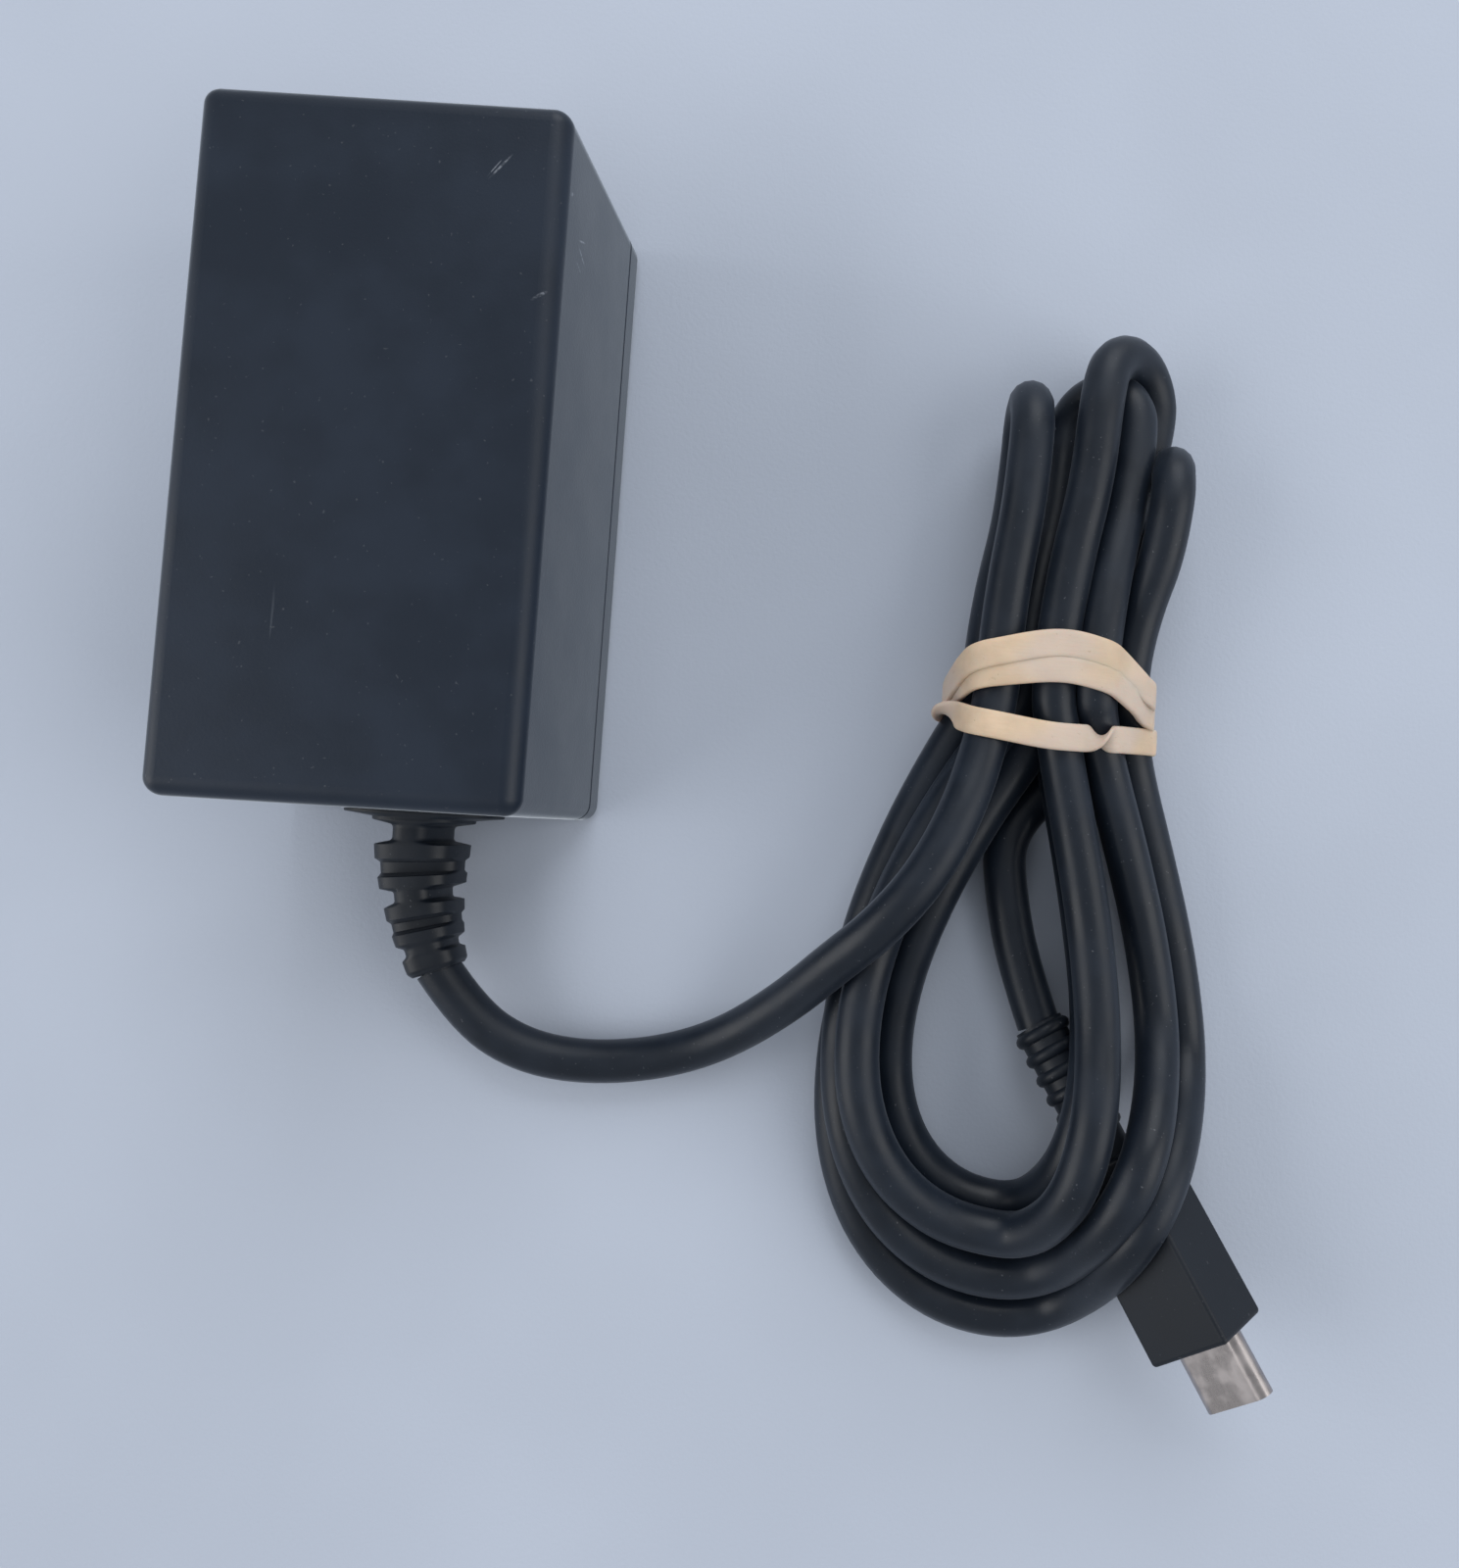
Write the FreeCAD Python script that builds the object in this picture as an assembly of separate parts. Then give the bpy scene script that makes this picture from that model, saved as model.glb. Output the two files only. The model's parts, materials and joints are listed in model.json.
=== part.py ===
"""Plug-in mains power adapter: folding prongs, captive cord tied in a hank, round-cornered slim plug.

Frame: origin at the centre of the brick's underside, +Z up, +Y along the brick away from its cord,
+X towards the hank.  Millimetres.  Each function returns one node's shape; main() writes them all.
"""
import FreeCAD, Part
import math
import os
from FreeCAD import Placement, Rotation, Vector

# ---- brick casing -------------------------------------------------------------------------------
BRICK_LENGTH = 67.0
BRICK_WIDTH = 35.0
BRICK_HEIGHT = 31.0
WALL = 2.0
FLOOR = 2.0              # thickness of the bottom cover's floor
SPLIT_HEIGHT = 4.4       # height of the seam between bottom cover and top housing
CORNER_RADIUS = 1.8      # outer edges of the casing
BASE_RADIUS = 1.1        # around the underside
SEAM_CHAMFER = 0.25      # small bevel on each side of the seam
LIP_THICKNESS = 0.9      # tongue of the bottom cover inside the top housing
LIP_HEIGHT = 1.6
LIP_GAP = 0.1

# ---- folding prongs -----------------------------------------------------------------------------
PRONG_SPACING = 12.7     # between the two blades' centres
PRONG_WIDTH = 6.35
PRONG_THICKNESS = 1.5
PRONG_REACH = 16.4       # how far a blade stands out of the underside when it is open
PRONG_NECK_WIDTH = 3.6   # the blade narrows where it runs through the carrier
PRONG_SHOULDER = 0.2     # from the carrier to where the blade is full width
PRONG_TAIL = 1.2         # contact nose behind the carrier
PRONG_TIP_BEVEL = 0.55
HINGE_Y = 16.0
CARRIER_RADIUS = 3.4
CARRIER_RECESS = 0.3     # from the underside up to the carrier or a folded blade
CARRIER_LENGTH = 18.4
JOURNAL_RADIUS = 1.6
JOURNAL_LENGTH = 1.7
JOURNAL_CLEARANCE = 0.05
CARRIER_CLEARANCE = 0.4  # between the carrier or a blade and the well around them
WELL_WALL = 1.6
WELL_ROOF = 0.7          # of the well, over the noses' sweep
NOTCH_LENGTH = 7.5       # finger notch at the blades' tips
NOTCH_WIDTH = 19.0
NOTCH_DEPTH = 6.0
NOTCH_COVER = 3.0        # length of blade that lies over the notch
DETENT_THICKNESS = 0.35
DETENT_WIDTH = 6.0
DETENT_BASE = 1.6        # lower edge of the spring above the underside
DETENT_CLEARANCE = 0.35  # between the carrier and its detent spring
CONTACT_WIDTH = 3.0
CONTACT_THICKNESS = 0.4
CONTACT_FOOT = 1.0       # from an open prong's nose to the spring's leg
CONTACT_CLEARANCE = 0.3  # between the well and a contact spring

# ---- circuit board and what stands on it ----------------------------------------------------------
BOARD_GAP = 0.5          # between the board's edge and the wall
BOARD_CLEARANCE = 0.2    # between the well and the controller under the board
BOARD_THICKNESS = 1.6
POST_RADIUS = 1.7
CLAMP_RADIUS = 1.5
POST_INSET = 2.2         # from the board's edge to a post's centre
SHEET_THICKNESS = 0.3
SHEET_INSET = 1.5        # from the board's long edges to the film
EDGE_GAP = 0.6           # from the board's edge to a part
PART_GAP = 0.5           # between neighbouring parts
CHOKE_OVERHANG = 0.6     # how far the transistor reaches past the choke's nearest point

FUSE_RADIUS, FUSE_LENGTH = 1.8, 8.6
X_CAP_SIZE = (13.0, 5.5, 11.0)
THERMISTOR_RADIUS, THERMISTOR_THICKNESS = 4.0, 3.5
CHOKE_OUTER, CHOKE_INNER, CHOKE_HEIGHT, CHOKE_WIRE = 4.6, 2.6, 5.0, 0.9
BRIDGE_SIZE = (3.4, 10.0, 9.0)
BULK_CAP_RADIUS, BULK_CAP_LENGTH = 7.0, 24.0
HEATSINK_SIZE = (12.5, 1.5, 14.0)
TRANSISTOR_SIZE = (9.4, 4.3, 10.0)
CORE_SIZE = (14.8, 21.0, 10.0)
CORE_BACK = 4.0          # thickness of the core's two backs
CORE_OUTER_LEG = 2.5
CORE_CENTRE_LEG = 5.0
CORE_LIFT = 3.0          # from the board to the core, the height of the bobbin's pin rails
BOBBIN_WALL = 0.5
BOBBIN_FLANGE = 0.6
BOBBIN_GAP = 0.1         # between the core and the bobbin
WINDING_BUILD = 1.6      # thickness of the copper and tape around the bobbin
Y_CAP_RADIUS, Y_CAP_THICKNESS = 4.0, 3.6
OPTO_SIZE = (6.5, 4.6, 3.5)
OUTPUT_CAP_RADIUS, OUTPUT_CAP_HEIGHT = 4.0, 12.0
INDUCTOR_RADIUS, INDUCTOR_HEIGHT = 3.6, 8.0
SMALL_HEATSINK_SIZE = (11.5, 1.3, 12.0)
RECTIFIER_SIZE = (9.0, 3.0, 9.0)
CHIP_SIZE = (5.0, 4.0, 1.4)
CHIP_FROM_HINGE = 5.0    # the controller sits under the board, between the contact springs

# ---- cord and its strain reliefs ------------------------------------------------------------------
CORD_DIAMETER = 4.8
CORD_EXIT_HEIGHT = 6.0   # axis of the strain relief above the underside
RELIEF_NECK = (7.0, 6.4) # through the wall, width and height
RELIEF_INNER_FLANGE = (9.6, 7.2, 1.5)
RELIEF_FLANGE = (16.4, 11.2, 0.7)
RELIEF_COLLAR_RADIUS = 5.45
RELIEF_COLLAR_END = 1.7  # distances below are measured out from the brick's end face
RELIEF_BODY_END = 13.6
RELIEF_ROOT_RADIUS = 5.3
RELIEF_TIP_WALL = 1.5     # rubber around the cord at the body's end
RELIEF_SIDE_NOTCHES = ((1.7, 3.7), (8.5, 10.1))
RELIEF_TOP_NOTCHES = ((5.6, 7.4), (11.3, 12.7))
RELIEF_CORE_HALF = 2.9
RELIEF_BEND = 24.0       # degrees by which the last ring leans towards the hank
RELIEF_RING_WALL = 0.85
RELIEF_CORE_WALL = 0.25
RELIEF_RING_START, RELIEF_RING_END = 2.3, 3.9
WIRE_RADIUS = 0.65
WIRE_SPACING = 3.2
WIRE_RUN = 3.4           # from the strain relief to the wires' bend

# Route of the cord from the strain relief to the hank, and from the hank to the plug.
LEAD_ROUTE = (
    (1.6, -50.4, 6.0),
    (5.0, -56.2, 5.2),
    (10.4, -60.2, 3.8),
    (17.6, -61.6, 2.7),
    (26.4, -60.6, 2.5),
    (34.0, -57.4, 3.6),
    (41.0, -52.0, 7.8),
    (46.1, -46.8, 12.0),
)
TAIL_ROUTE = (
    (63.6, -32.6, 3.4),
    (64.5, -39.4, 2.7),
    (66.2, -46.4, 2.6),
    (68.8, -53.0, 3.4),
)
ARC_SHARE = 0.45         # part of a run that each of its two arcs may take

# ---- hank -----------------------------------------------------------------------------------------
HANK_HEIGHT = 14.6
HANK_TIE_TOP, HANK_TIE_BASE = 14.2, 1.0
HANK_TIE_X = (57.9, 78.4)
SADDLE_HEIGHT = 19.8     # where the turns ride up over the plug
SADDLE_START, SADDLE_LENGTH = 12.0, 20.0
PLUG_CLEARANCE = 0.4

# ---- rubber band ----------------------------------------------------------------------------------
BAND_THICKNESS = 0.9
BAND_WRAPS_Y = ((-13.2, -10.2), (-16.2, -13.2), (-22.3, -19.3))
BAND_CROSSOVER_X = (73.0, 76.0)

# ---- plug -----------------------------------------------------------------------------------------
PLUG_HEADING = -58.5     # degrees from +X, the way the plug points
PLUG_PITCH = 12.0        # degrees, its nose is up because the turns press on its strain relief
PLUG_ROLL = 39.0         # degrees, the plug lies on one of its long edges
PLUG_RELIEF_LENGTH = 16.0
PLUG_RELIEF_WALL = 0.8    # rubber around the cord under a ring
PLUG_RELIEF_GROOVE_WALL = 0.25
PLUG_RELIEF_RINGS = 6
PLUG_RELIEF_PITCH = 2.3
PLUG_RELIEF_RING = 1.35
PLUG_RELIEF_LEAD = 0.2   # from the relief's end to its first ring
OVERMOLD_SIZE = (20.6, 10.2, 8.0)
OVERMOLD_EDGE = 0.5
SHELL_SIZE = (8.25, 2.4)
SHELL_WALL = 0.3
SHELL_REACH = 6.65       # how far the metal shell stands out of the overmold
SHELL_ROOT = 4.0
INSULATOR_RECESS = 0.4   # from the shell's mouth back to the plastic inside
TONGUE_SLOT = (6.7, 0.8)
SLOT_DEPTH = 6.0
CONTACTS_PER_SIDE = 12
CONTACT_PITCH = 0.5
CONTACT_STRIP = (5.0, 0.25, 0.12)
CONTACT_INSET = 0.3      # from the slot's end to the strips
CAN_LENGTH = 12.0
CAN_SIZE = (9.4, 3.8)
CAN_WALL = 0.3
PLUG_BOARD_SIZE = (10.0, 8.2, 0.8)
LATCH_THICKNESS = 0.35

# ---- derived --------------------------------------------------------------------------------------
END_Y = -BRICK_LENGTH / 2
CORD_RADIUS = CORD_DIAMETER / 2
HINGE_HEIGHT = max(CARRIER_RADIUS, PRONG_WIDTH / 2) + CARRIER_RECESS
WELL_TOP = HINGE_HEIGHT + CARRIER_RADIUS + PRONG_TAIL + WELL_ROOF
BOARD_BASE = WELL_TOP + CHIP_SIZE[2] + BOARD_CLEARANCE
BOARD_TOP = BOARD_BASE + BOARD_THICKNESS
CEILING = BRICK_HEIGHT - WALL
BOARD_HALF_X = BRICK_WIDTH / 2 - WALL - BOARD_GAP
BOARD_HALF_Y = BRICK_LENGTH / 2 - WALL - BOARD_GAP
BLADE_RADIUS = HINGE_HEIGHT + PRONG_REACH
DETENT_TOP = HINGE_HEIGHT + CARRIER_RADIUS + CARRIER_CLEARANCE
NOTCH_START = HINGE_Y - BLADE_RADIUS + NOTCH_COVER - NOTCH_LENGTH
WELL_HALF_X = CARRIER_LENGTH / 2 + CARRIER_CLEARANCE + WELL_WALL
PRONG_XS = (-PRONG_SPACING / 2, PRONG_SPACING / 2)
POSTS = [(sx * (BOARD_HALF_X - POST_INSET), sy * (BOARD_HALF_Y - POST_INSET))
         for sx in (-1, 1) for sy in (-1, 1)]
WIRE_START_Y = END_Y + WALL + RELIEF_INNER_FLANGE[2]
WIRE_END_Y = WIRE_START_Y + WIRE_RUN
PLUG_RELIEF_RADIUS = CORD_RADIUS + PLUG_RELIEF_WALL
CHIP_Y = HINGE_Y - CHIP_FROM_HINGE
CHOKE_REACH = CHOKE_OUTER + CHOKE_WIRE
CHOKE_Y = BOARD_HALF_Y - EDGE_GAP - X_CAP_SIZE[1] - PART_GAP - CHOKE_REACH
HEATSINK_Y = CHOKE_Y - CHOKE_REACH - TRANSISTOR_SIZE[1] + CHOKE_OVERHANG
TRANSFORMER_Y = HEATSINK_Y - HEATSINK_SIZE[1] - PART_GAP - CORE_SIZE[1] / 2
SECONDARY_Y = TRANSFORMER_Y - CORE_SIZE[1] / 2 - PART_GAP
ABREAST_GAP = (2 * BOARD_HALF_X - CORE_SIZE[0] - 2 * BULK_CAP_RADIUS) / 3   # beside the core and capacitor


# ---- small helpers --------------------------------------------------------------------------------
def block(x, y, z):
    """Box from three (low, high) pairs."""
    return Part.makeBox(x[1] - x[0], y[1] - y[0], z[1] - z[0], Vector(x[0], y[0], z[0]))


def centred(size, x, y, base):
    """Box of a given size, centred on x and y, standing on base."""
    return block((x - size[0] / 2, x + size[0] / 2), (y - size[1] / 2, y + size[1] / 2),
                 (base, base + size[2]))


def rod(radius, start, end):
    """Cylinder between two points."""
    run = Vector(*end) - Vector(*start)
    return Part.makeCylinder(radius, run.Length, Vector(*start), run)


def fused(shapes):
    """One shape from several that touch, without their shared faces."""
    return shapes[0].multiFuse(shapes[1:]).removeSplitter()


def edges_where(shape, test):
    """Edges whose two ends both pass the test."""
    return [edge for edge in shape.Edges if all(test(vertex.Point) for vertex in edge.Vertexes)]


def vertical_edges(shape):
    """Straight edges that run along Z."""
    return [edge for edge in shape.Edges
            if len(edge.Vertexes) == 2
            and (edge.Vertexes[0].Point - edge.Vertexes[1].Point).cross(Vector(0, 0, 1)).Length < 1e-6]


def stadium(width, height, length, start=0.0):
    """Flat round-sided bar along +X, width along Y and height along Z."""
    half, radius = width / 2 - height / 2, height / 2
    corners = [Vector(start, -half, radius), Vector(start, half, radius),
               Vector(start, half, -radius), Vector(start, -half, -radius)]
    wire = Part.Wire([
        Part.LineSegment(corners[0], corners[1]).toShape(),
        Part.Arc(corners[1], Vector(start, half + radius, 0), corners[2]).toShape(),
        Part.LineSegment(corners[2], corners[3]).toShape(),
        Part.Arc(corners[3], Vector(start, -half - radius, 0), corners[0]).toShape(),
    ])
    return Part.Face(wire).extrude(Vector(length, 0, 0))


def oval_plate(width, height, thickness, y, z):
    """Plate with round ends, lying across Y from y towards -Y."""
    plate = stadium(width, height, thickness)
    return plate.transformGeometry(
        Placement(Vector(0, y, z), Rotation(Vector(0, 0, 1), -90)).toMatrix())


# ---- cord tubes -----------------------------------------------------------------------------------
def rounded_route(points):
    """Wire of straight runs joined by the largest tangent arcs that the runs allow."""
    points = [Vector(*point) for point in points]
    edges, here, radii = [], points[0], []
    for before, corner, after in zip(points, points[1:], points[2:]):
        incoming, outgoing = corner - before, after - corner
        tangent = ARC_SHARE * min(incoming.Length, outgoing.Length)
        half_turn = incoming.getAngle(outgoing) / 2
        radius = tangent / math.tan(half_turn)
        incoming.normalize()
        outgoing.normalize()
        arc_start, arc_end = corner - incoming * tangent, corner + outgoing * tangent
        inward = outgoing - incoming
        inward.normalize()
        middle = corner + inward * (radius / math.cos(half_turn) - radius)
        edges.append(Part.LineSegment(here, arc_start).toShape())
        edges.append(Part.Arc(arc_start, middle, arc_end).toShape())
        here = arc_end
        radii.append(radius)
    edges.append(Part.LineSegment(here, points[-1]).toShape())
    return Part.Wire(edges), radii


def tube(points, radius, name):
    """Round tube along a route; prints its bend radii, its length and its volume check."""
    path, radii = rounded_route(points)
    direction = Vector(*points[1]) - Vector(*points[0])
    section = Part.Wire(Part.makeCircle(radius, Vector(*points[0]), direction))
    solid = path.makePipeShell([section], True, False)
    expected = math.pi * radius ** 2 * path.Length
    print(name, "radii", [round(value, 1) for value in radii], "length", round(path.Length, 1),
          "volume over section times length", round(solid.Volume / expected, 4))
    return solid


# ---- casing ---------------------------------------------------------------------------------------
def casing_block(base, top):
    """Full-size block of the casing between two heights, sides not yet rounded."""
    return centred((BRICK_WIDTH, BRICK_LENGTH, top - base), 0, 0, base)


def inner_block(margin, base, top):
    """Block inside the casing, a margin smaller on every side."""
    return centred((BRICK_WIDTH - 2 * margin, BRICK_LENGTH - 2 * margin, top - base), 0, 0, base)


def relief_passage(low, high):
    """The part, between two heights, of the hole that the strain relief's neck goes through."""
    half = RELIEF_NECK[0] / 2
    bottom = max(low, CORD_EXIT_HEIGHT - RELIEF_NECK[1] / 2)
    top = min(high, CORD_EXIT_HEIGHT + RELIEF_NECK[1] / 2)
    return block((-half, half), (END_Y - 1, END_Y + WALL), (bottom, top))


def top_housing():
    """Deep upper shell, with four ribs that hold the circuit board down."""
    shell = casing_block(SPLIT_HEIGHT, BRICK_HEIGHT)
    rounds = vertical_edges(shell) + edges_where(shell, lambda p: abs(p.z - BRICK_HEIGHT) < 1e-6)
    shell = shell.makeFillet(CORNER_RADIUS, rounds)
    rim = edges_where(shell, lambda p: abs(p.z - SPLIT_HEIGHT) < 1e-6)
    shell = shell.makeChamfer(SEAM_CHAMFER, rim)
    shell = shell.cut(inner_block(WALL, SPLIT_HEIGHT - 1, CEILING))
    rebate_margin = WALL - LIP_THICKNESS - LIP_GAP
    shell = shell.cut(inner_block(rebate_margin, SPLIT_HEIGHT - 1, SPLIT_HEIGHT + LIP_HEIGHT + LIP_GAP))
    shell = shell.cut(relief_passage(SPLIT_HEIGHT - 1, BRICK_HEIGHT))
    clamps = [rod(CLAMP_RADIUS, (x, y, BOARD_TOP), (x, y, CEILING + WALL / 2)) for x, y in POSTS]
    return fused([shell] + clamps)


def prong_well():
    """Block on the floor of the bottom cover that the prongs fold into."""
    front = HINGE_Y + CARRIER_RADIUS + PRONG_TAIL + CARRIER_CLEARANCE + WELL_WALL
    back = NOTCH_START - WELL_WALL
    return block((-WELL_HALF_X, WELL_HALF_X), (back, front), (0, WELL_TOP))


def prong_voids():
    """Everything that is open in the prong well."""
    bore = CARRIER_RADIUS + CARRIER_CLEARANCE
    half = CARRIER_LENGTH / 2 + CARRIER_CLEARANCE
    ears = half + JOURNAL_LENGTH
    voids = [
        rod(bore, (-half, HINGE_Y, HINGE_HEIGHT), (half, HINGE_Y, HINGE_HEIGHT)),
        block((-half, half), (HINGE_Y - bore, HINGE_Y + bore), (-1, HINGE_HEIGHT)),
        rod(JOURNAL_RADIUS + JOURNAL_CLEARANCE, (-ears, HINGE_Y, HINGE_HEIGHT),
            (ears, HINGE_Y, HINGE_HEIGHT)),
        detent_pocket(),
        finger_notch(),
    ]
    slot_half = PRONG_THICKNESS / 2 + CARRIER_CLEARANCE
    sweep = CARRIER_CLEARANCE + max(
        math.hypot(CARRIER_RADIUS + PRONG_SHOULDER, PRONG_WIDTH / 2),
        math.hypot(CARRIER_RADIUS + PRONG_TAIL, PRONG_NECK_WIDTH / 2))
    for x in PRONG_XS:
        voids.append(block((x - slot_half, x + slot_half),
                           (HINGE_Y - BLADE_RADIUS - CARRIER_CLEARANCE, HINGE_Y),
                           (-1, HINGE_HEIGHT + PRONG_WIDTH / 2 + CARRIER_CLEARANCE)))
        voids.append(rod(sweep, (x - slot_half, HINGE_Y, HINGE_HEIGHT),
                         (x + slot_half, HINGE_Y, HINGE_HEIGHT)))
        voids.append(block((x - slot_half, x + slot_half), (HINGE_Y - sweep, HINGE_Y + sweep),
                           (-1, HINGE_HEIGHT)))
        voids.append(block((x - slot_half, x + slot_half), (HINGE_Y - sweep / 2, HINGE_Y + sweep / 2),
                           (HINGE_HEIGHT, WELL_TOP + 1)))
    return voids


def finger_notch():
    """Hollow in the underside where a fingernail lifts the blades' tips."""
    return block((-NOTCH_WIDTH / 2, NOTCH_WIDTH / 2), (NOTCH_START, NOTCH_START + NOTCH_LENGTH),
                 (-1, NOTCH_DEPTH))


def detent_pocket():
    """Recess behind the carrier that holds the detent spring against its back wall."""
    back = HINGE_Y + CARRIER_RADIUS + DETENT_CLEARANCE + DETENT_THICKNESS
    half = DETENT_WIDTH / 2 + DETENT_CLEARANCE
    return block((-half, half), (HINGE_Y, back),
                 (DETENT_BASE - DETENT_CLEARANCE, DETENT_TOP + DETENT_CLEARANCE))


def bottom_cover():
    """Shallow lower shell with the tongue, the board's posts and the prong well."""
    cover = casing_block(0, SPLIT_HEIGHT)
    rounds = vertical_edges(cover)
    cover = cover.makeFillet(CORNER_RADIUS, rounds)
    base = edges_where(cover, lambda p: abs(p.z) < 1e-6)
    cover = cover.makeFillet(BASE_RADIUS, base)
    seam = edges_where(cover, lambda p: abs(p.z - SPLIT_HEIGHT) < 1e-6)
    cover = cover.makeChamfer(SEAM_CHAMFER, seam)
    cover = cover.cut(inner_block(WALL, FLOOR, SPLIT_HEIGHT + 1))
    tongue = inner_block(WALL - LIP_THICKNESS, SPLIT_HEIGHT - 0.5, SPLIT_HEIGHT + LIP_HEIGHT)
    tongue = tongue.cut(inner_block(WALL, SPLIT_HEIGHT - 1, SPLIT_HEIGHT + LIP_HEIGHT + 1))
    posts = [rod(POST_RADIUS, (x, y, FLOOR / 2), (x, y, BOARD_BASE)) for x, y in POSTS]
    cover = fused([cover, tongue, prong_well()] + posts)
    for void in prong_voids():
        cover = cover.cut(void)
    return cover.cut(relief_passage(0, SPLIT_HEIGHT + LIP_HEIGHT + 1)).removeSplitter()


# ---- folding prongs -------------------------------------------------------------------------------
def prong(x):
    """One flat blade, folded flat: it points to -Y and its nose to +Y."""
    half = PRONG_THICKNESS / 2
    root = CARRIER_RADIUS + PRONG_SHOULDER
    blade = block((x - half, x + half), (HINGE_Y - BLADE_RADIUS, HINGE_Y - root),
                  (HINGE_HEIGHT - PRONG_WIDTH / 2, HINGE_HEIGHT + PRONG_WIDTH / 2))
    tip = edges_where(blade, lambda p: abs(p.y - HINGE_Y + BLADE_RADIUS) < 1e-6)
    long_edges = [edge for edge in tip if abs(edge.Length - PRONG_WIDTH) < 1e-6]
    blade = blade.makeChamfer(PRONG_TIP_BEVEL, long_edges)
    neck = block((x - half, x + half), (HINGE_Y - root, HINGE_Y + CARRIER_RADIUS + PRONG_TAIL),
                 (HINGE_HEIGHT - PRONG_NECK_WIDTH / 2, HINGE_HEIGHT + PRONG_NECK_WIDTH / 2))
    return fused([blade, neck])


def prong_carrier():
    """Moulded barrel that carries both blades and turns in the well's two ears."""
    half = CARRIER_LENGTH / 2
    ends = half + JOURNAL_LENGTH
    barrel = rod(CARRIER_RADIUS, (-half, HINGE_Y, HINGE_HEIGHT), (half, HINGE_Y, HINGE_HEIGHT))
    journals = rod(JOURNAL_RADIUS, (-ends, HINGE_Y, HINGE_HEIGHT), (ends, HINGE_Y, HINGE_HEIGHT))
    carrier = fused([barrel, journals])
    for x in PRONG_XS:
        carrier = carrier.cut(prong(x))
    return carrier


def detent_spring():
    """Flat spring behind the carrier that holds it open or folded."""
    front = HINGE_Y + CARRIER_RADIUS + DETENT_CLEARANCE
    return block((-DETENT_WIDTH / 2, DETENT_WIDTH / 2), (front, front + DETENT_THICKNESS),
                 (DETENT_BASE, DETENT_TOP))


def contact_spring(x):
    """Strip over the carrier that an open prong's nose presses on, soldered to the board."""
    base = WELL_TOP + CONTACT_CLEARANCE
    foot = HINGE_Y + CARRIER_RADIUS + PRONG_TAIL + CONTACT_FOOT
    across = (x - CONTACT_WIDTH / 2, x + CONTACT_WIDTH / 2)
    strip = block(across, (HINGE_Y - PRONG_NECK_WIDTH, foot), (base, base + CONTACT_THICKNESS))
    leg = block(across, (foot - CONTACT_THICKNESS, foot), (base, BOARD_BASE))
    return fused([strip, leg])


# ---- circuit board --------------------------------------------------------------------------------
def circuit_board():
    """Board that lies on the cover's posts under the housing's clamp ribs."""
    return block((-BOARD_HALF_X, BOARD_HALF_X), (-BOARD_HALF_Y, BOARD_HALF_Y), (BOARD_BASE, BOARD_TOP))


def insulation_sheet():
    """Film on the board's underside, over the prong well."""
    half = BOARD_HALF_X - SHEET_INSET
    chip_end = CHIP_Y - CHIP_SIZE[1] / 2
    return block((-half, half), (WIRE_END_Y + WIRE_RADIUS + PART_GAP, chip_end - PART_GAP),
                 (BOARD_BASE - SHEET_THICKNESS, BOARD_BASE))


def mains_side():
    """Parts between the prongs and the transformer, by node name."""
    end = BOARD_HALF_Y - EDGE_GAP
    left, right = EDGE_GAP - BOARD_HALF_X, BOARD_HALF_X
    clamp_side = POST_INSET + CLAMP_RADIUS + PART_GAP
    fuse_x = clamp_side + FUSE_RADIUS - BOARD_HALF_X
    fuse_start, fuse_z = end - EDGE_GAP - FUSE_LENGTH, BOARD_TOP + FUSE_RADIUS
    thermistor_x = right - clamp_side - THERMISTOR_THICKNESS
    thermistor_y = CHOKE_Y + CHOKE_REACH
    thermistor_z = BOARD_TOP + THERMISTOR_RADIUS
    bridge_y = BOARD_HALF_Y - clamp_side - BRIDGE_SIZE[1] / 2
    parts = {
        "fuse": rod(FUSE_RADIUS, (fuse_x, fuse_start, fuse_z), (fuse_x, fuse_start + FUSE_LENGTH, fuse_z)),
        "x_capacitor": centred(X_CAP_SIZE, 0, end - X_CAP_SIZE[1] / 2, BOARD_TOP),
        "inrush_thermistor": rod(THERMISTOR_RADIUS, (thermistor_x, thermistor_y, thermistor_z),
                                 (thermistor_x + THERMISTOR_THICKNESS, thermistor_y, thermistor_z)),
        "bridge_rectifier": centred(BRIDGE_SIZE, left + BRIDGE_SIZE[0] / 2, bridge_y, BOARD_TOP),
        "primary_heatsink": centred(HEATSINK_SIZE, left + HEATSINK_SIZE[0] / 2,
                                    HEATSINK_Y - HEATSINK_SIZE[1] / 2, BOARD_TOP),
        "switching_transistor": centred(TRANSISTOR_SIZE, left + TRANSISTOR_SIZE[0] / 2,
                                        HEATSINK_Y + TRANSISTOR_SIZE[1] / 2, BOARD_TOP),
    }
    parts.update(choke(left + TRANSISTOR_SIZE[0] + CHOKE_REACH, CHOKE_Y))
    return parts


def choke(x, y):
    """Ring core lying on the board with a winding on each half."""
    base = BOARD_TOP + CHOKE_WIRE
    axis = Vector(x, y, base)
    ring = Part.makeCylinder(CHOKE_OUTER, CHOKE_HEIGHT, axis).cut(
        Part.makeCylinder(CHOKE_INNER, CHOKE_HEIGHT, axis))
    low = Vector(x, y, BOARD_TOP)
    tall = CHOKE_HEIGHT + 2 * CHOKE_WIRE
    coat = Part.makeCylinder(CHOKE_OUTER + CHOKE_WIRE, tall, low).cut(
        Part.makeCylinder(CHOKE_INNER - CHOKE_WIRE, tall, low)).cut(ring)
    reach = CHOKE_OUTER + CHOKE_WIRE + 1
    halves = [coat.common(block((x + side, x + side + reach), (y - reach, y + reach),
                                (BOARD_TOP, BOARD_TOP + tall))) for side in (0.9, -0.9 - reach)]
    return {"choke_core": ring, "choke_windings": Part.makeCompound(halves)}


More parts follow.
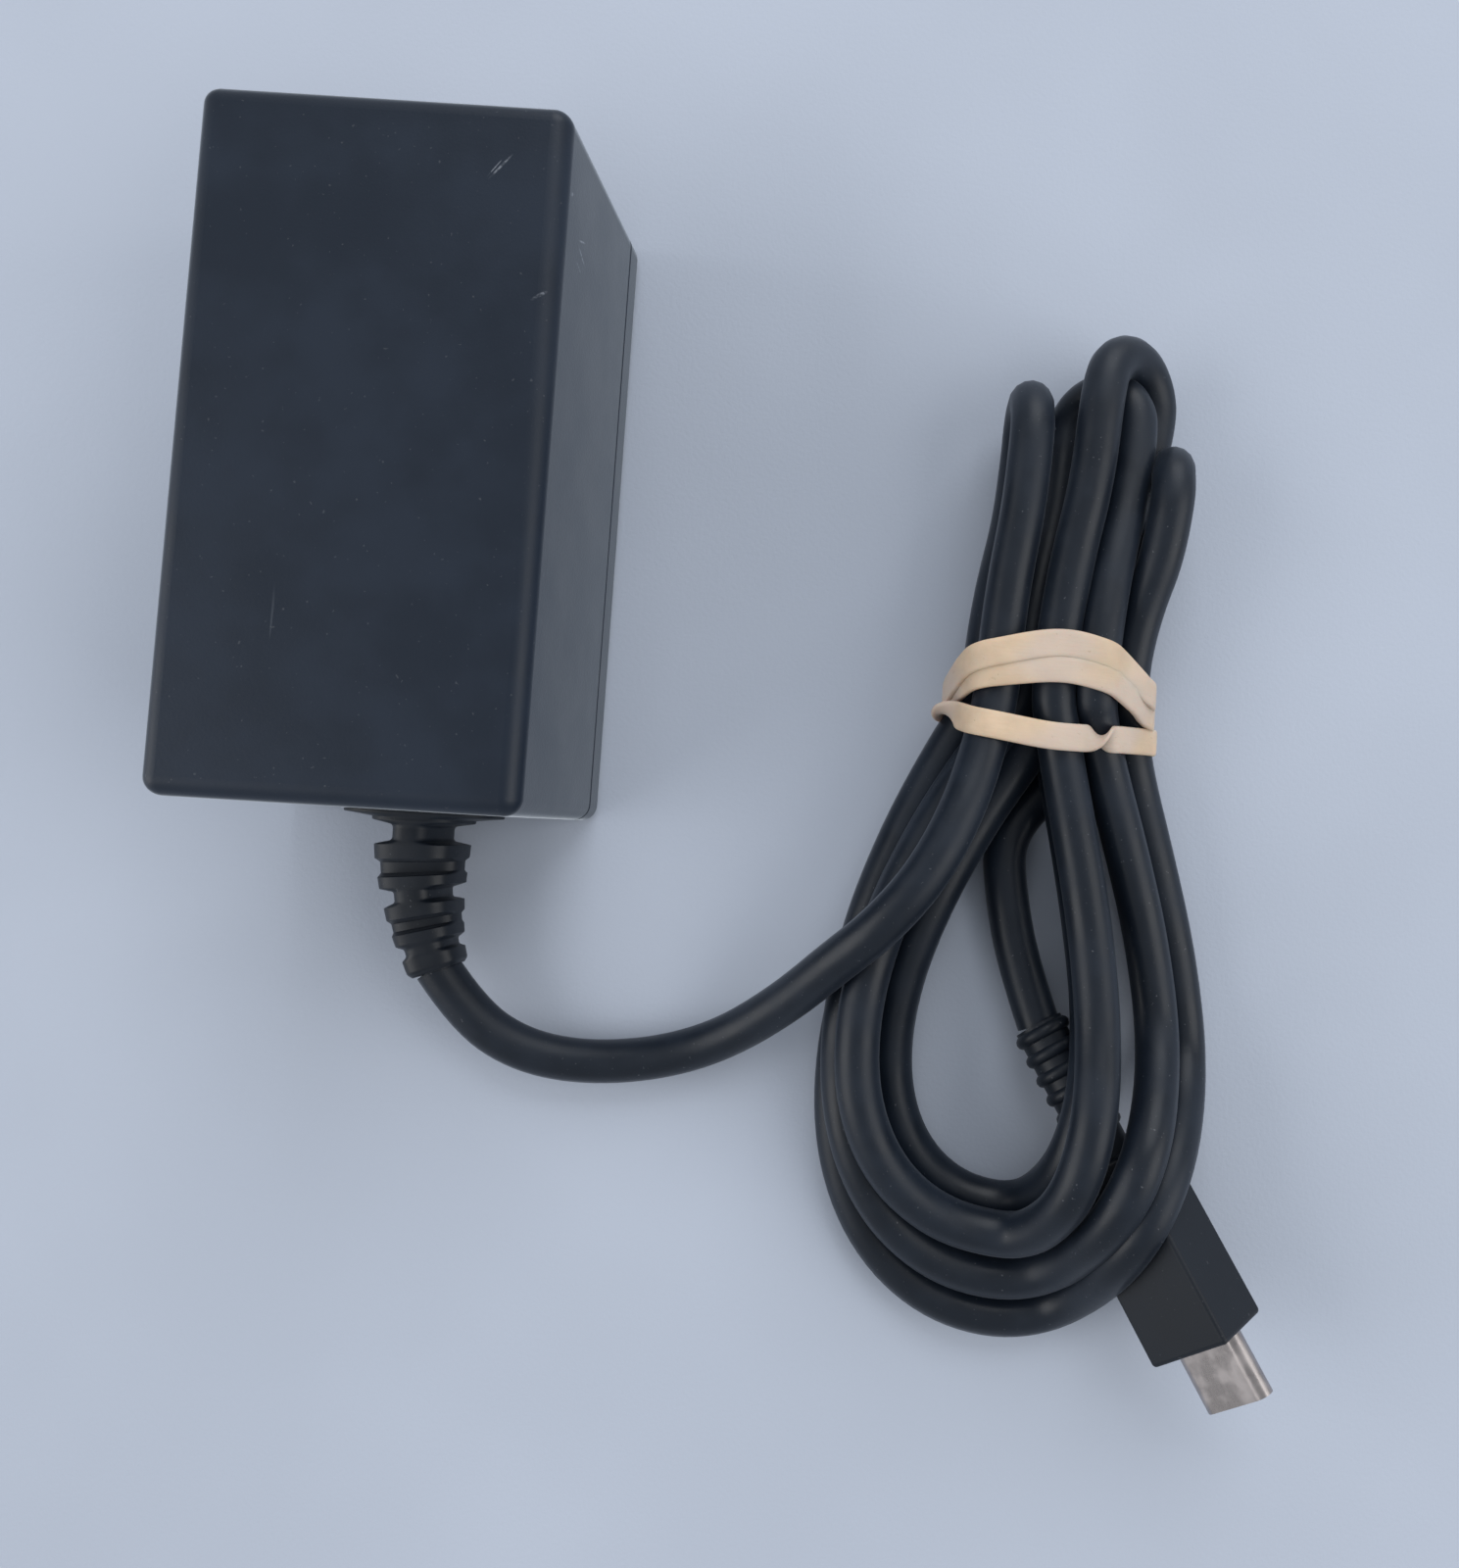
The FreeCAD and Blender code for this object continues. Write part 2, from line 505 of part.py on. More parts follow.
def transformer():
    """Core, bobbin and winding, standing on the bobbin's pin rails."""
    width, length, height = CORE_SIZE
    x = width / 2 + ABREAST_GAP - BOARD_HALF_X
    y = TRANSFORMER_Y
    base = BOARD_TOP + CORE_LIFT
    window = (width - CORE_CENTRE_LEG) / 2 - CORE_OUTER_LEG
    inside = length - 2 * CORE_BACK
    core = centred(CORE_SIZE, x, y, base)
    offset = (CORE_CENTRE_LEG + window) / 2
    for side in (-offset, offset):
        core = core.cut(centred((window, inside, height), x + side, y, base))
    middle = base + height / 2
    gap, flange = BOBBIN_GAP, BOBBIN_FLANGE

    def sleeve(grow_in, grow_out, span):
        outer = (CORE_CENTRE_LEG + 2 * grow_out, span, height + 2 * grow_out)
        inner = (CORE_CENTRE_LEG + 2 * grow_in, span, height + 2 * grow_in)
        return centred(outer, x, y, middle - outer[2] / 2).cut(centred(inner, x, y, middle - inner[2] / 2))

    winding_span = inside - 2 * gap - 2 * flange
    flanges = []
    for end in (-1, 1):
        plate = sleeve(gap, gap + BOBBIN_WALL + WINDING_BUILD, flange)
        flanges.append(plate.translated(Vector(0, end * (winding_span + flange) / 2, 0)))
    rails = [centred((width, CORE_BACK + gap + flange, CORE_LIFT), x,
                     y + end * (length - CORE_BACK - gap - flange) / 2, BOARD_TOP) for end in (-1, 1)]
    bobbin = fused([sleeve(gap, gap + BOBBIN_WALL, inside - 2 * gap)] + flanges + rails)
    winding = sleeve(gap + BOBBIN_WALL, gap + BOBBIN_WALL + WINDING_BUILD, winding_span)
    return {"transformer_core": core, "transformer_bobbin": bobbin, "transformer_winding": winding}


def output_side():
    """Bulk capacitor and the parts between the transformer and the cord, by node name."""
    right = BOARD_HALF_X - EDGE_GAP
    bulk_x, bulk_z = BOARD_HALF_X - ABREAST_GAP - BULK_CAP_RADIUS, BOARD_TOP + BULK_CAP_RADIUS
    y_cap_x, y_cap_z = Y_CAP_RADIUS + EDGE_GAP - BOARD_HALF_X, BOARD_TOP + Y_CAP_RADIUS
    opto_x = y_cap_x + Y_CAP_RADIUS + PART_GAP + OPTO_SIZE[0] / 2
    cap_x = POST_INSET + PART_GAP + OUTPUT_CAP_RADIUS - BOARD_HALF_X
    cap_y = SECONDARY_Y - OPTO_SIZE[1] - PART_GAP - OUTPUT_CAP_RADIUS
    cap_xs = (cap_x, cap_x + 2 * OUTPUT_CAP_RADIUS + PART_GAP)
    caps = [Part.makeCylinder(OUTPUT_CAP_RADIUS, OUTPUT_CAP_HEIGHT, Vector(x, cap_y, BOARD_TOP))
            for x in cap_xs]
    sink_x = right - SMALL_HEATSINK_SIZE[0] / 2
    rectifier_y = SECONDARY_Y - SMALL_HEATSINK_SIZE[1] - RECTIFIER_SIZE[1] / 2
    inductor_x = cap_xs[1] + OUTPUT_CAP_RADIUS + PART_GAP + INDUCTOR_RADIUS
    inductor_y = rectifier_y - RECTIFIER_SIZE[1] / 2 - PART_GAP - INDUCTOR_RADIUS
    return {
        "bulk_capacitor": rod(BULK_CAP_RADIUS, (bulk_x, SECONDARY_Y, bulk_z),
                              (bulk_x, SECONDARY_Y + BULK_CAP_LENGTH, bulk_z)),
        "y_capacitor": rod(Y_CAP_RADIUS, (y_cap_x, SECONDARY_Y - Y_CAP_THICKNESS, y_cap_z),
                           (y_cap_x, SECONDARY_Y, y_cap_z)),
        "optocoupler": centred(OPTO_SIZE, opto_x, SECONDARY_Y - OPTO_SIZE[1] / 2, BOARD_TOP),
        "output_capacitors": Part.makeCompound(caps),
        "output_inductor": Part.makeCylinder(INDUCTOR_RADIUS, INDUCTOR_HEIGHT,
                                             Vector(inductor_x, inductor_y, BOARD_TOP)),
        "secondary_heatsink": centred(SMALL_HEATSINK_SIZE, sink_x,
                                      SECONDARY_Y - SMALL_HEATSINK_SIZE[1] / 2, BOARD_TOP),
        "rectifier_transistor": centred(RECTIFIER_SIZE, sink_x, rectifier_y, BOARD_TOP),
        "controller_chip": centred(CHIP_SIZE, 0, CHIP_Y, BOARD_BASE - CHIP_SIZE[2]),
    }


def output_wire(side):
    """Insulated conductor from the cord's end up to the board."""
    x = side * WIRE_SPACING / 2
    route = ((x, WIRE_START_Y, CORD_EXIT_HEIGHT), (x, WIRE_END_Y, CORD_EXIT_HEIGHT),
             (x, WIRE_END_Y, BOARD_BASE))
    return tube(route, WIRE_RADIUS, "output wire")


# ---- strain relief on the brick -------------------------------------------------------------------
def brick_strain_relief():
    """Moulded relief: flange, slotted tapering body and a last ring that leans with the cord."""
    z = CORD_EXIT_HEIGHT

    def at(distance):
        return (0, END_Y - distance, z)

    inner = centred((RELIEF_INNER_FLANGE[0], RELIEF_INNER_FLANGE[2], RELIEF_INNER_FLANGE[1]), 0,
                    END_Y + WALL + RELIEF_INNER_FLANGE[2] / 2, z - RELIEF_INNER_FLANGE[1] / 2)
    neck = centred((RELIEF_NECK[0], WALL, RELIEF_NECK[1]), 0, END_Y + WALL / 2, z - RELIEF_NECK[1] / 2)
    flange = oval_plate(RELIEF_FLANGE[0], RELIEF_FLANGE[1], RELIEF_FLANGE[2], END_Y, z)
    collar = rod(RELIEF_COLLAR_RADIUS, at(0.3), at(RELIEF_COLLAR_END))
    body = Part.makeCone(RELIEF_ROOT_RADIUS, CORD_RADIUS + RELIEF_TIP_WALL, RELIEF_BODY_END - 1.0,
                         Vector(*at(1.0)), Vector(0, -1, 0))
    reach = 2 * RELIEF_ROOT_RADIUS
    for start, end in RELIEF_SIDE_NOTCHES:
        for side in (-1, 1):
            across = sorted((side * RELIEF_CORE_HALF, side * reach))
            body = body.cut(block(across, (END_Y - end, END_Y - start), (z - reach, z + reach)))
    for start, end in RELIEF_TOP_NOTCHES:
        for side in (-1, 1):
            upright = sorted((z + side * RELIEF_CORE_HALF, z + side * reach))
            body = body.cut(block((-reach, reach), (END_Y - end, END_Y - start), upright))
    lean = Vector(math.sin(math.radians(RELIEF_BEND)), -math.cos(math.radians(RELIEF_BEND)), 0)
    pivot = Vector(0, END_Y - RELIEF_BODY_END + 0.4, z)
    ring = Part.makeCylinder(CORD_RADIUS + RELIEF_RING_WALL, RELIEF_RING_END - RELIEF_RING_START,
                             pivot + lean * RELIEF_RING_START, lean)
    core = Part.makeCylinder(CORD_RADIUS + RELIEF_CORE_WALL, RELIEF_RING_END, pivot, lean)
    return fused([inner, neck, flange, collar, body, core, ring])


# ---- plug -----------------------------------------------------------------------------------------
def plug_placement():
    """From the plug's own axes (X forward, Y across, Z through) to where it lies."""
    turn = Rotation(Vector(0, 0, 1), PLUG_HEADING).multiply(Rotation(Vector(0, 1, 0), -PLUG_PITCH))
    turn = turn.multiply(Rotation(Vector(1, 0, 0), PLUG_ROLL))
    return Placement(Vector(*TAIL_ROUTE[-1]), turn)


def laid(shape):
    """A plug piece moved to where the plug lies."""
    return shape.transformGeometry(plug_placement().toMatrix())


def plug_strain_relief():
    """Ribbed round relief between the cord and the overmold."""
    origin, along = Vector(0, 0, 0), Vector(1, 0, 0)
    core = Part.makeCylinder(CORD_RADIUS + PLUG_RELIEF_GROOVE_WALL, PLUG_RELIEF_LENGTH, origin, along)
    rings = [Part.makeCylinder(PLUG_RELIEF_RADIUS, PLUG_RELIEF_RING,
                               Vector(PLUG_RELIEF_LEAD + number * PLUG_RELIEF_PITCH, 0, 0), along)
             for number in range(PLUG_RELIEF_RINGS)]
    collar_start = PLUG_RELIEF_LEAD + PLUG_RELIEF_RINGS * PLUG_RELIEF_PITCH
    collar = Part.makeCylinder(PLUG_RELIEF_RADIUS, PLUG_RELIEF_LENGTH - collar_start,
                               Vector(collar_start, 0, 0), along)
    return laid(fused([core, collar] + rings))


def overmold_front():
    """Distance from the cord's end to the overmold's front face."""
    return PLUG_RELIEF_LENGTH + OVERMOLD_SIZE[0]


def plug_overmold():
    """Moulded grip with the shield can's space inside and an opening for the metal shell."""
    length, width, thickness = OVERMOLD_SIZE
    body = Part.makeBox(length, width, thickness, Vector(PLUG_RELIEF_LENGTH, -width / 2, -thickness / 2))
    body = body.makeFillet(OVERMOLD_EDGE, body.Edges)
    front = overmold_front()
    body = body.cut(stadium(SHELL_SIZE[0], SHELL_SIZE[1], SHELL_ROOT + 1, front - SHELL_ROOT))
    can_end = front - SHELL_ROOT
    body = body.cut(stadium(CAN_SIZE[0], CAN_SIZE[1], CAN_LENGTH, can_end - CAN_LENGTH))
    return laid(body)


def plug_shield_can():
    """Metal can around the plug's little board, inside the overmold."""
    end = overmold_front() - SHELL_ROOT
    can = stadium(CAN_SIZE[0], CAN_SIZE[1], CAN_LENGTH, end - CAN_LENGTH)
    hollow = stadium(CAN_SIZE[0] - 2 * CAN_WALL, CAN_SIZE[1] - 2 * CAN_WALL,
                     CAN_LENGTH - 2 * CAN_WALL, end - CAN_LENGTH + CAN_WALL)
    return laid(can.cut(hollow))


def plug_board():
    """Small board inside the can."""
    length, width, thickness = PLUG_BOARD_SIZE
    start = overmold_front() - SHELL_ROOT - CAN_WALL - length
    return laid(Part.makeBox(length, width, thickness, Vector(start, -width / 2, -thickness / 2)))


def plug_shell():
    """Seamless oval metal shell that goes into the socket."""
    length = SHELL_ROOT + SHELL_REACH
    start = overmold_front() - SHELL_ROOT
    outer = stadium(SHELL_SIZE[0], SHELL_SIZE[1], length, start)
    inner = stadium(SHELL_SIZE[0] - 2 * SHELL_WALL, SHELL_SIZE[1] - 2 * SHELL_WALL, length, start)
    return laid(outer.cut(inner))


def plug_insulator():
    """Plastic core inside the shell, with the slot for the socket's tongue."""
    length = SHELL_ROOT + SHELL_REACH - INSULATOR_RECESS
    start = overmold_front() - SHELL_ROOT
    core = stadium(SHELL_SIZE[0] - 2 * SHELL_WALL, SHELL_SIZE[1] - 2 * SHELL_WALL, length, start)
    mouth = start + length - SLOT_DEPTH
    slot = Part.makeBox(SLOT_DEPTH + 1, TONGUE_SLOT[0], TONGUE_SLOT[1],
                        Vector(mouth, -TONGUE_SLOT[0] / 2, -TONGUE_SLOT[1] / 2))
    core = core.cut(slot)
    for strip in contact_strips() + latch_legs():
        core = core.cut(strip)
    return laid(core)


def contact_strips():
    """Contacts let into both faces of the slot."""
    length, width, thickness = CONTACT_STRIP
    start = overmold_front() + SHELL_REACH - INSULATOR_RECESS - SLOT_DEPTH + CONTACT_INSET
    first = -(CONTACTS_PER_SIDE - 1) * CONTACT_PITCH / 2
    return [Part.makeBox(length, width, thickness,
                         Vector(start, first + number * CONTACT_PITCH - width / 2, base))
            for number in range(CONTACTS_PER_SIDE)
            for base in (TONGUE_SLOT[1] / 2, -TONGUE_SLOT[1] / 2 - thickness)]


def latch_legs():
    """The two side springs that snap onto the socket's tongue."""
    half = TONGUE_SLOT[0] / 2
    start = overmold_front() + SHELL_REACH - INSULATOR_RECESS - SLOT_DEPTH + CONTACT_INSET
    return [Part.makeBox(CONTACT_STRIP[0], LATCH_THICKNESS, TONGUE_SLOT[1],
                         Vector(start, side, -TONGUE_SLOT[1] / 2))
            for side in (half, -half - LATCH_THICKNESS)]


def plug_contacts():
    """All contacts, as a group of separate strips."""
    return laid(Part.makeCompound(contact_strips()))


def plug_latches():
    """Both latch legs, as a group of separate strips."""
    return laid(Part.makeCompound(latch_legs()))


# ---- hank -----------------------------------------------------------------------------------------
def arc_chain(points):
    """Closed face through arcs: start, middle, end, middle, end ... back to the start."""
    points = [Vector(x, y, 0) for x, y in points]
    edges = []
    for number in range(0, len(points), 2):
        start, middle = points[number], points[number + 1]
        end = points[(number + 2) % len(points)]
        edges.append(Part.Arc(start, middle, end).toShape())
    return Part.Face(Part.Wire(edges))


def hank_outline():
    """Outline of the folded cord from above: crown, waist and drop-shaped loops."""
    return arc_chain((
        (58.0, -12.0), (58.4, -3.0), (60.6, 8.0), (64.2, 19.0), (74.5, 24.0), (81.2, 19.0),
        (83.2, 9.5), (82.0, -2.0), (79.4, -12.0), (79.2, -17.0), (79.6, -22.0), (85.4, -40.0),
        (88.6, -60.0), (67.0, -88.0), (43.9, -62.0), (47.4, -42.0), (57.6, -22.0), (57.3, -17.0)))


def hank_opening():
    """Outline of the gap inside the loops, where the cord's tail runs."""
    return arc_chain((
        (60.4, -32.8), (63.4, -32.7), (66.8, -32.8), (71.8, -45.5), (74.4, -59.0),
        (65.6, -71.4), (56.0, -57.5), (57.4, -44.5)))


def plug_tunnel():
    """Space under the turns that the plug and its strain relief take, down to the surface."""
    roll = math.radians(PLUG_ROLL)
    half_z = (OVERMOLD_SIZE[1] * math.sin(roll) + OVERMOLD_SIZE[2] * math.cos(roll)) / 2
    half_y = (OVERMOLD_SIZE[1] * math.cos(roll) + OVERMOLD_SIZE[2] * math.sin(roll)) / 2
    pitch = math.radians(PLUG_PITCH)
    back = PLUG_RELIEF_LENGTH * math.cos(pitch) - half_z * math.sin(pitch) - PLUG_CLEARANCE
    over_plug = sloping_space(back, overmold_front() + PLUG_CLEARANCE, half_y + PLUG_CLEARANCE,
                              half_z / math.cos(pitch) + PLUG_CLEARANCE)
    slim = PLUG_RELIEF_RADIUS + PLUG_CLEARANCE
    over_relief = sloping_space(-PLUG_RELIEF_RADIUS, PLUG_RELIEF_LENGTH, slim, slim)
    return flat_placed(over_plug.fuse(over_relief))


def sloping_space(start, end, aside, above):
    """Space along the plug that reaches a height above its sloping axis."""
    slope = math.tan(math.radians(PLUG_PITCH))
    profile = [(start, -1), (start, TAIL_ROUTE[-1][2] + start * slope + above),
               (end, TAIL_ROUTE[-1][2] + end * slope + above), (end, -1), (start, -1)]
    wire = Part.makePolygon([Vector(x, -aside, z) for x, z in profile])
    return Part.Face(wire).extrude(Vector(0, 2 * aside, 0))


def flat_placed(shape):
    """A shape on the plug's heading, unrolled, with its own height kept."""
    x, y, _ = TAIL_ROUTE[-1]
    placement = Placement(Vector(x, y, 0), Rotation(Vector(0, 0, 1), PLUG_HEADING))
    return shape.transformGeometry(placement.toMatrix())


def saddle():
    """The rise in the turns where they cross over the plug."""
    half = OVERMOLD_SIZE[1] / 2 + 2 * CORD_DIAMETER
    return flat_placed(Part.makeBox(SADDLE_LENGTH, 2 * half, SADDLE_HEIGHT,
                                    Vector(SADDLE_START, -half, 0)))


def cord_hank():
    """Closed solid of the outer shape of the folded turns."""
    ring = hank_outline().cut(hank_opening())
    plate = ring.extrude(Vector(0, 0, HANK_HEIGHT))
    rise = ring.extrude(Vector(0, 0, SADDLE_HEIGHT)).common(saddle())
    hank = plate.fuse(rise).cut(plug_tunnel())
    for wrap in BAND_WRAPS_Y:
        hank = hank.cut(band_space(wrap))
    return hank.removeSplitter()


def band_space(wrap):
    """What one wrap of the band presses out of the bundle."""
    outside = block((HANK_TIE_X[0] - 9, HANK_TIE_X[1] + 9), wrap, (-1, HANK_HEIGHT + 1))
    return outside.cut(block(HANK_TIE_X, wrap, (HANK_TIE_BASE, HANK_TIE_TOP)))


def rubber_band():
    """One flat band, wound three times round the waist and crossing over on top."""
    grow = BAND_THICKNESS
    wraps = []
    for wrap in BAND_WRAPS_Y:
        outer = block((HANK_TIE_X[0] - grow, HANK_TIE_X[1] + grow), wrap,
                      (HANK_TIE_BASE - grow, HANK_TIE_TOP + grow))
        wraps.append(outer.cut(block(HANK_TIE_X, wrap, (HANK_TIE_BASE, HANK_TIE_TOP))))
    low, high = BAND_WRAPS_Y[2][0], BAND_WRAPS_Y[1][1]
    crossover = block(BAND_CROSSOVER_X, (low, high), (HANK_HEIGHT, HANK_TIE_TOP + grow))
    return fused(wraps + [crossover])


# ---- all nodes ------------------------------------------------------------------------------------
def all_nodes():
    """Every node's shape by name."""
    nodes = {
        "top_housing": top_housing(),
        "bottom_cover": bottom_cover(),
        "prong_carrier": prong_carrier(),
        "prong_live": prong(PRONG_XS[0]),
        "prong_neutral": prong(PRONG_XS[1]),
        "contact_spring_live": contact_spring(PRONG_XS[0]),
        "contact_spring_neutral": contact_spring(PRONG_XS[1]),
        "detent_spring": detent_spring(),
        "circuit_board": circuit_board(),
        "insulation_sheet": insulation_sheet(),
        "output_wire_positive": output_wire(1),
        "output_wire_negative": output_wire(-1),
        "brick_strain_relief": brick_strain_relief(),
        "cord_lead": tube(LEAD_ROUTE, CORD_RADIUS, "cord_lead"),
        "cord_hank": cord_hank(),
        "cord_tail": tube(TAIL_ROUTE, CORD_RADIUS, "cord_tail"),
        "rubber_band": rubber_band(),
        "plug_strain_relief": plug_strain_relief(),
        "plug_overmold": plug_overmold(),
        "plug_shield_can": plug_shield_can(),
        "plug_board": plug_board(),
        "plug_shell": plug_shell(),
        "plug_insulator": plug_insulator(),
        "plug_contacts": plug_contacts(),
        "plug_latches": plug_latches(),
    }
    nodes.update(mains_side())
    nodes.update(transformer())
    nodes.update(output_side())
    return nodes


def main():
    """Write one STEP file per node."""
    os.makedirs("parts", exist_ok=True)
    for name, shape in all_nodes().items():
        print(name, "solids", len(shape.Solids), "valid", shape.isValid(), "volume", round(shape.Volume, 1))
        shape.exportStep("parts/" + name + ".step")


if __name__ == "__main__":
    main()
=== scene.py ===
"""Looks of the plug-in power adapter: casing, folding prongs, banded hank of cord and oval plug.

The frame has its origin under the middle of the brick, +Z up, +Y along the brick away from its cord
and +X towards the hank.  Blender's lengths are metres.  Sizes of the cord, band, reliefs and studio are
millimetres, turned into metres by MM where a mesh, curve or lamp is made.
"""
import json
import logging
import math
from dataclasses import dataclass
from enum import Enum
from typing import Iterable, Sequence

import bmesh
import bpy
from mathutils import Matrix, Vector

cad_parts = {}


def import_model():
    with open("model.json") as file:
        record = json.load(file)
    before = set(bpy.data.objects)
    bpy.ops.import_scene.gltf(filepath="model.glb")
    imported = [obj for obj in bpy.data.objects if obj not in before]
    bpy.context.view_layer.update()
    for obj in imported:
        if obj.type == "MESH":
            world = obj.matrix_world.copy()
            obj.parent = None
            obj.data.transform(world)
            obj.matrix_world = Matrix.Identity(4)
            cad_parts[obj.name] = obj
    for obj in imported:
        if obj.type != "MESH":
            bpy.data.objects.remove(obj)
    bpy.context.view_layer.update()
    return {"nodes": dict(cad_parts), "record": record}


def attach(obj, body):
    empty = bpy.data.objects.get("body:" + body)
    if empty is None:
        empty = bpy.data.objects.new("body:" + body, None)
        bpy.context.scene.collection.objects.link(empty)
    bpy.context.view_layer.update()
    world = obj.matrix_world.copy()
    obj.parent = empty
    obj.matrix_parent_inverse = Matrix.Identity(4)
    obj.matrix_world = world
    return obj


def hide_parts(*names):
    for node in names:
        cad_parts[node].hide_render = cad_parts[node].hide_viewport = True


LOG = logging.getLogger("adapter")
MM = 0.001
Colour = tuple[float, float, float]
Point = tuple[float, float, float]
ADAPTER = "adapter"


# ---- small helpers --------------------------------------------------------------------------------
def in_metres(points: Iterable[Point]) -> list[Vector]:
    """Turn millimetre points into metre vectors."""
    return [Vector(point) * MM for point in points]


def ease(share: float) -> float:
    """Smooth step from 0 to 1 that starts and ends level."""
    share = min(max(share, 0.0), 1.0)
    return share * share * (3 - 2 * share)


def between(low: float, high: float, share: float) -> float:
    """Number a share of the way from low to high."""
    return low + (high - low) * share


def mesh_object(name: str, mesh: bpy.types.Mesh, material: bpy.types.Material) -> bpy.types.Object:
    """Link a mesh as a new piece that wears one material.

    Args:
        name: The piece's name.
        mesh: Its finished mesh, in place.
        material: Its only finish.

    Returns:
        The new object, at the origin.
    """
    mesh.materials.clear()
    mesh.materials.append(material)
    piece = bpy.data.objects.new(name, mesh)
    bpy.context.scene.collection.objects.link(piece)
    return piece


def shade_by_angle(mesh: bpy.types.Mesh, degrees: float) -> None:
    """Shade a mesh smooth, apart from edges sharper than an angle."""
    mesh.shade_smooth()
    mesh.set_sharp_from_angle(angle=math.radians(degrees))


def baked(source: bpy.types.Object, name: str, material: bpy.types.Material) -> bpy.types.Object:
    """Replace a helper object by a plain mesh piece with its modifiers applied.

    Args:
        source: Object with live modifiers, which is removed.
        name: Name of the piece.
        material: Finish of the piece.

    Returns:
        The new piece.
    """
    depsgraph = bpy.context.evaluated_depsgraph_get()
    mesh = bpy.data.meshes.new_from_object(source.evaluated_get(depsgraph), depsgraph=depsgraph)
    mesh.transform(source.matrix_world)
    bpy.data.objects.remove(source)
    return mesh_object(name, mesh, material)


# ---- material graphs ------------------------------------------------------------------------------
@dataclass(frozen=True)
class Scuff:
    """One light mark: its centre and size in millimetres and its turn in degrees."""

    centre: Point
    size: Point
    turn: Point = (0.0, 0.0, 0.0)


class Graph:
    """A material's node tree, with short calls for what every finish needs."""

    def __init__(self, name: str) -> None:
        """Start a material with an empty principled shader."""
        self.material = bpy.data.materials.new(name)
        self.material.use_nodes = True
        self.tree = self.material.node_tree
        self.shader = self.tree.nodes["Principled BSDF"]
        self.place = self.add("ShaderNodeTexCoord").outputs["Object"]

    def add(self, kind: str, **settings: object) -> bpy.types.Node:
        """Add a node and set some of its properties."""
        node = self.tree.nodes.new(kind)
        for key, value in settings.items():
            setattr(node, key, value)
        return node

    def join(self, source: bpy.types.NodeSocket, target: bpy.types.NodeSocket) -> None:
        """Link one socket to another."""
        self.tree.links.new(source, target)

    def stretched(self, scale: Point) -> bpy.types.NodeSocket:
        """Object coordinates times a scale along each axis."""
        mapping = self.add("ShaderNodeMapping")
        mapping.inputs["Scale"].default_value = scale
        self.join(self.place, mapping.inputs["Vector"])
        return mapping.outputs["Vector"]

    def noise(self, size: float, detail: float = 3.0, where: bpy.types.NodeSocket | None = None,
              roughness: float = 0.5) -> bpy.types.NodeSocket:
        """Noise whose features are about one size, from 0 to 1.

        Args:
            size: Width of a feature in metres.
            detail: Octaves of finer noise.
            where: Coordinates to read, the object's own where none are given.
            roughness: Share that each finer octave keeps.

        Returns:
            The noise value.
        """
        node = self.add("ShaderNodeTexNoise")
        node.inputs["Scale"].default_value = 1.0 / size
        node.inputs["Detail"].default_value = detail
        node.inputs["Roughness"].default_value = roughness
        self.join(where or self.place, node.inputs["Vector"])
        return node.outputs["Fac"]

    def math(self, operation: str, first: bpy.types.NodeSocket | float,
             second: bpy.types.NodeSocket | float = 0.0, clamp: bool = False) -> bpy.types.NodeSocket:
        """One step of arithmetic on sockets or numbers."""
        node = self.add("ShaderNodeMath", operation=operation, use_clamp=clamp)
        for value, socket in zip((first, second), node.inputs):
            if isinstance(value, (int, float)):
                socket.default_value = value
            else:
                self.join(value, socket)
        return node.outputs[0]

    def ramp(self, value: bpy.types.NodeSocket, low: float, high: float,
             start: float = 0.0, end: float = 1.0) -> bpy.types.NodeSocket:
        """Map a value from low..high to start..end, held level outside."""
        node = self.add("ShaderNodeMapRange", interpolation_type="SMOOTHSTEP")
        for key, number in (("From Min", low), ("From Max", high), ("To Min", start), ("To Max", end)):
            node.inputs[key].default_value = number
        self.join(value, node.inputs["Value"])
        return node.outputs["Result"]

    def mix(self, share: bpy.types.NodeSocket, first: Colour | bpy.types.NodeSocket,
            second: Colour) -> bpy.types.NodeSocket:
        """Blend from a first colour, or a colour socket, to a second."""
        node = self.add("ShaderNodeMix", data_type="RGBA")
        if isinstance(first, tuple):
            node.inputs["A"].default_value = (*first, 1)
        else:
            self.join(first, node.inputs["A"])
        node.inputs["B"].default_value = (*second, 1)
        self.join(share, node.inputs["Factor"])
        return node.outputs["Result"]

    def spot(self, scuff: Scuff) -> bpy.types.NodeSocket:
        """1 in the middle of a scuff on the object, fading to 0 at its rim."""
        mapping = self.add("ShaderNodeMapping", vector_type="TEXTURE")
        mapping.inputs["Location"].default_value = [value * MM for value in scuff.centre]
        mapping.inputs["Rotation"].default_value = [math.radians(value) for value in scuff.turn]
        mapping.inputs["Scale"].default_value = [value * MM / 2 for value in scuff.size]
        self.join(self.place, mapping.inputs["Vector"])
        distance = self.add("ShaderNodeVectorMath", operation="LENGTH")
        self.join(mapping.outputs["Vector"], distance.inputs[0])
        return self.ramp(distance.outputs["Value"], 0.3, 1.0, 1.0, 0.0)

    def bump(self, height: bpy.types.NodeSocket, depth: float, strength: float = 1.0) -> None:
        """Add relief of a depth in metres, on top of any there already."""
        node = self.add("ShaderNodeBump")
        node.inputs["Distance"].default_value = depth
        node.inputs["Strength"].default_value = strength
        self.join(height, node.inputs["Height"])
        target = self.shader.inputs["Normal"]
        if target.is_linked:
            self.join(target.links[0].from_socket, node.inputs["Normal"])
        self.join(node.outputs["Normal"], target)

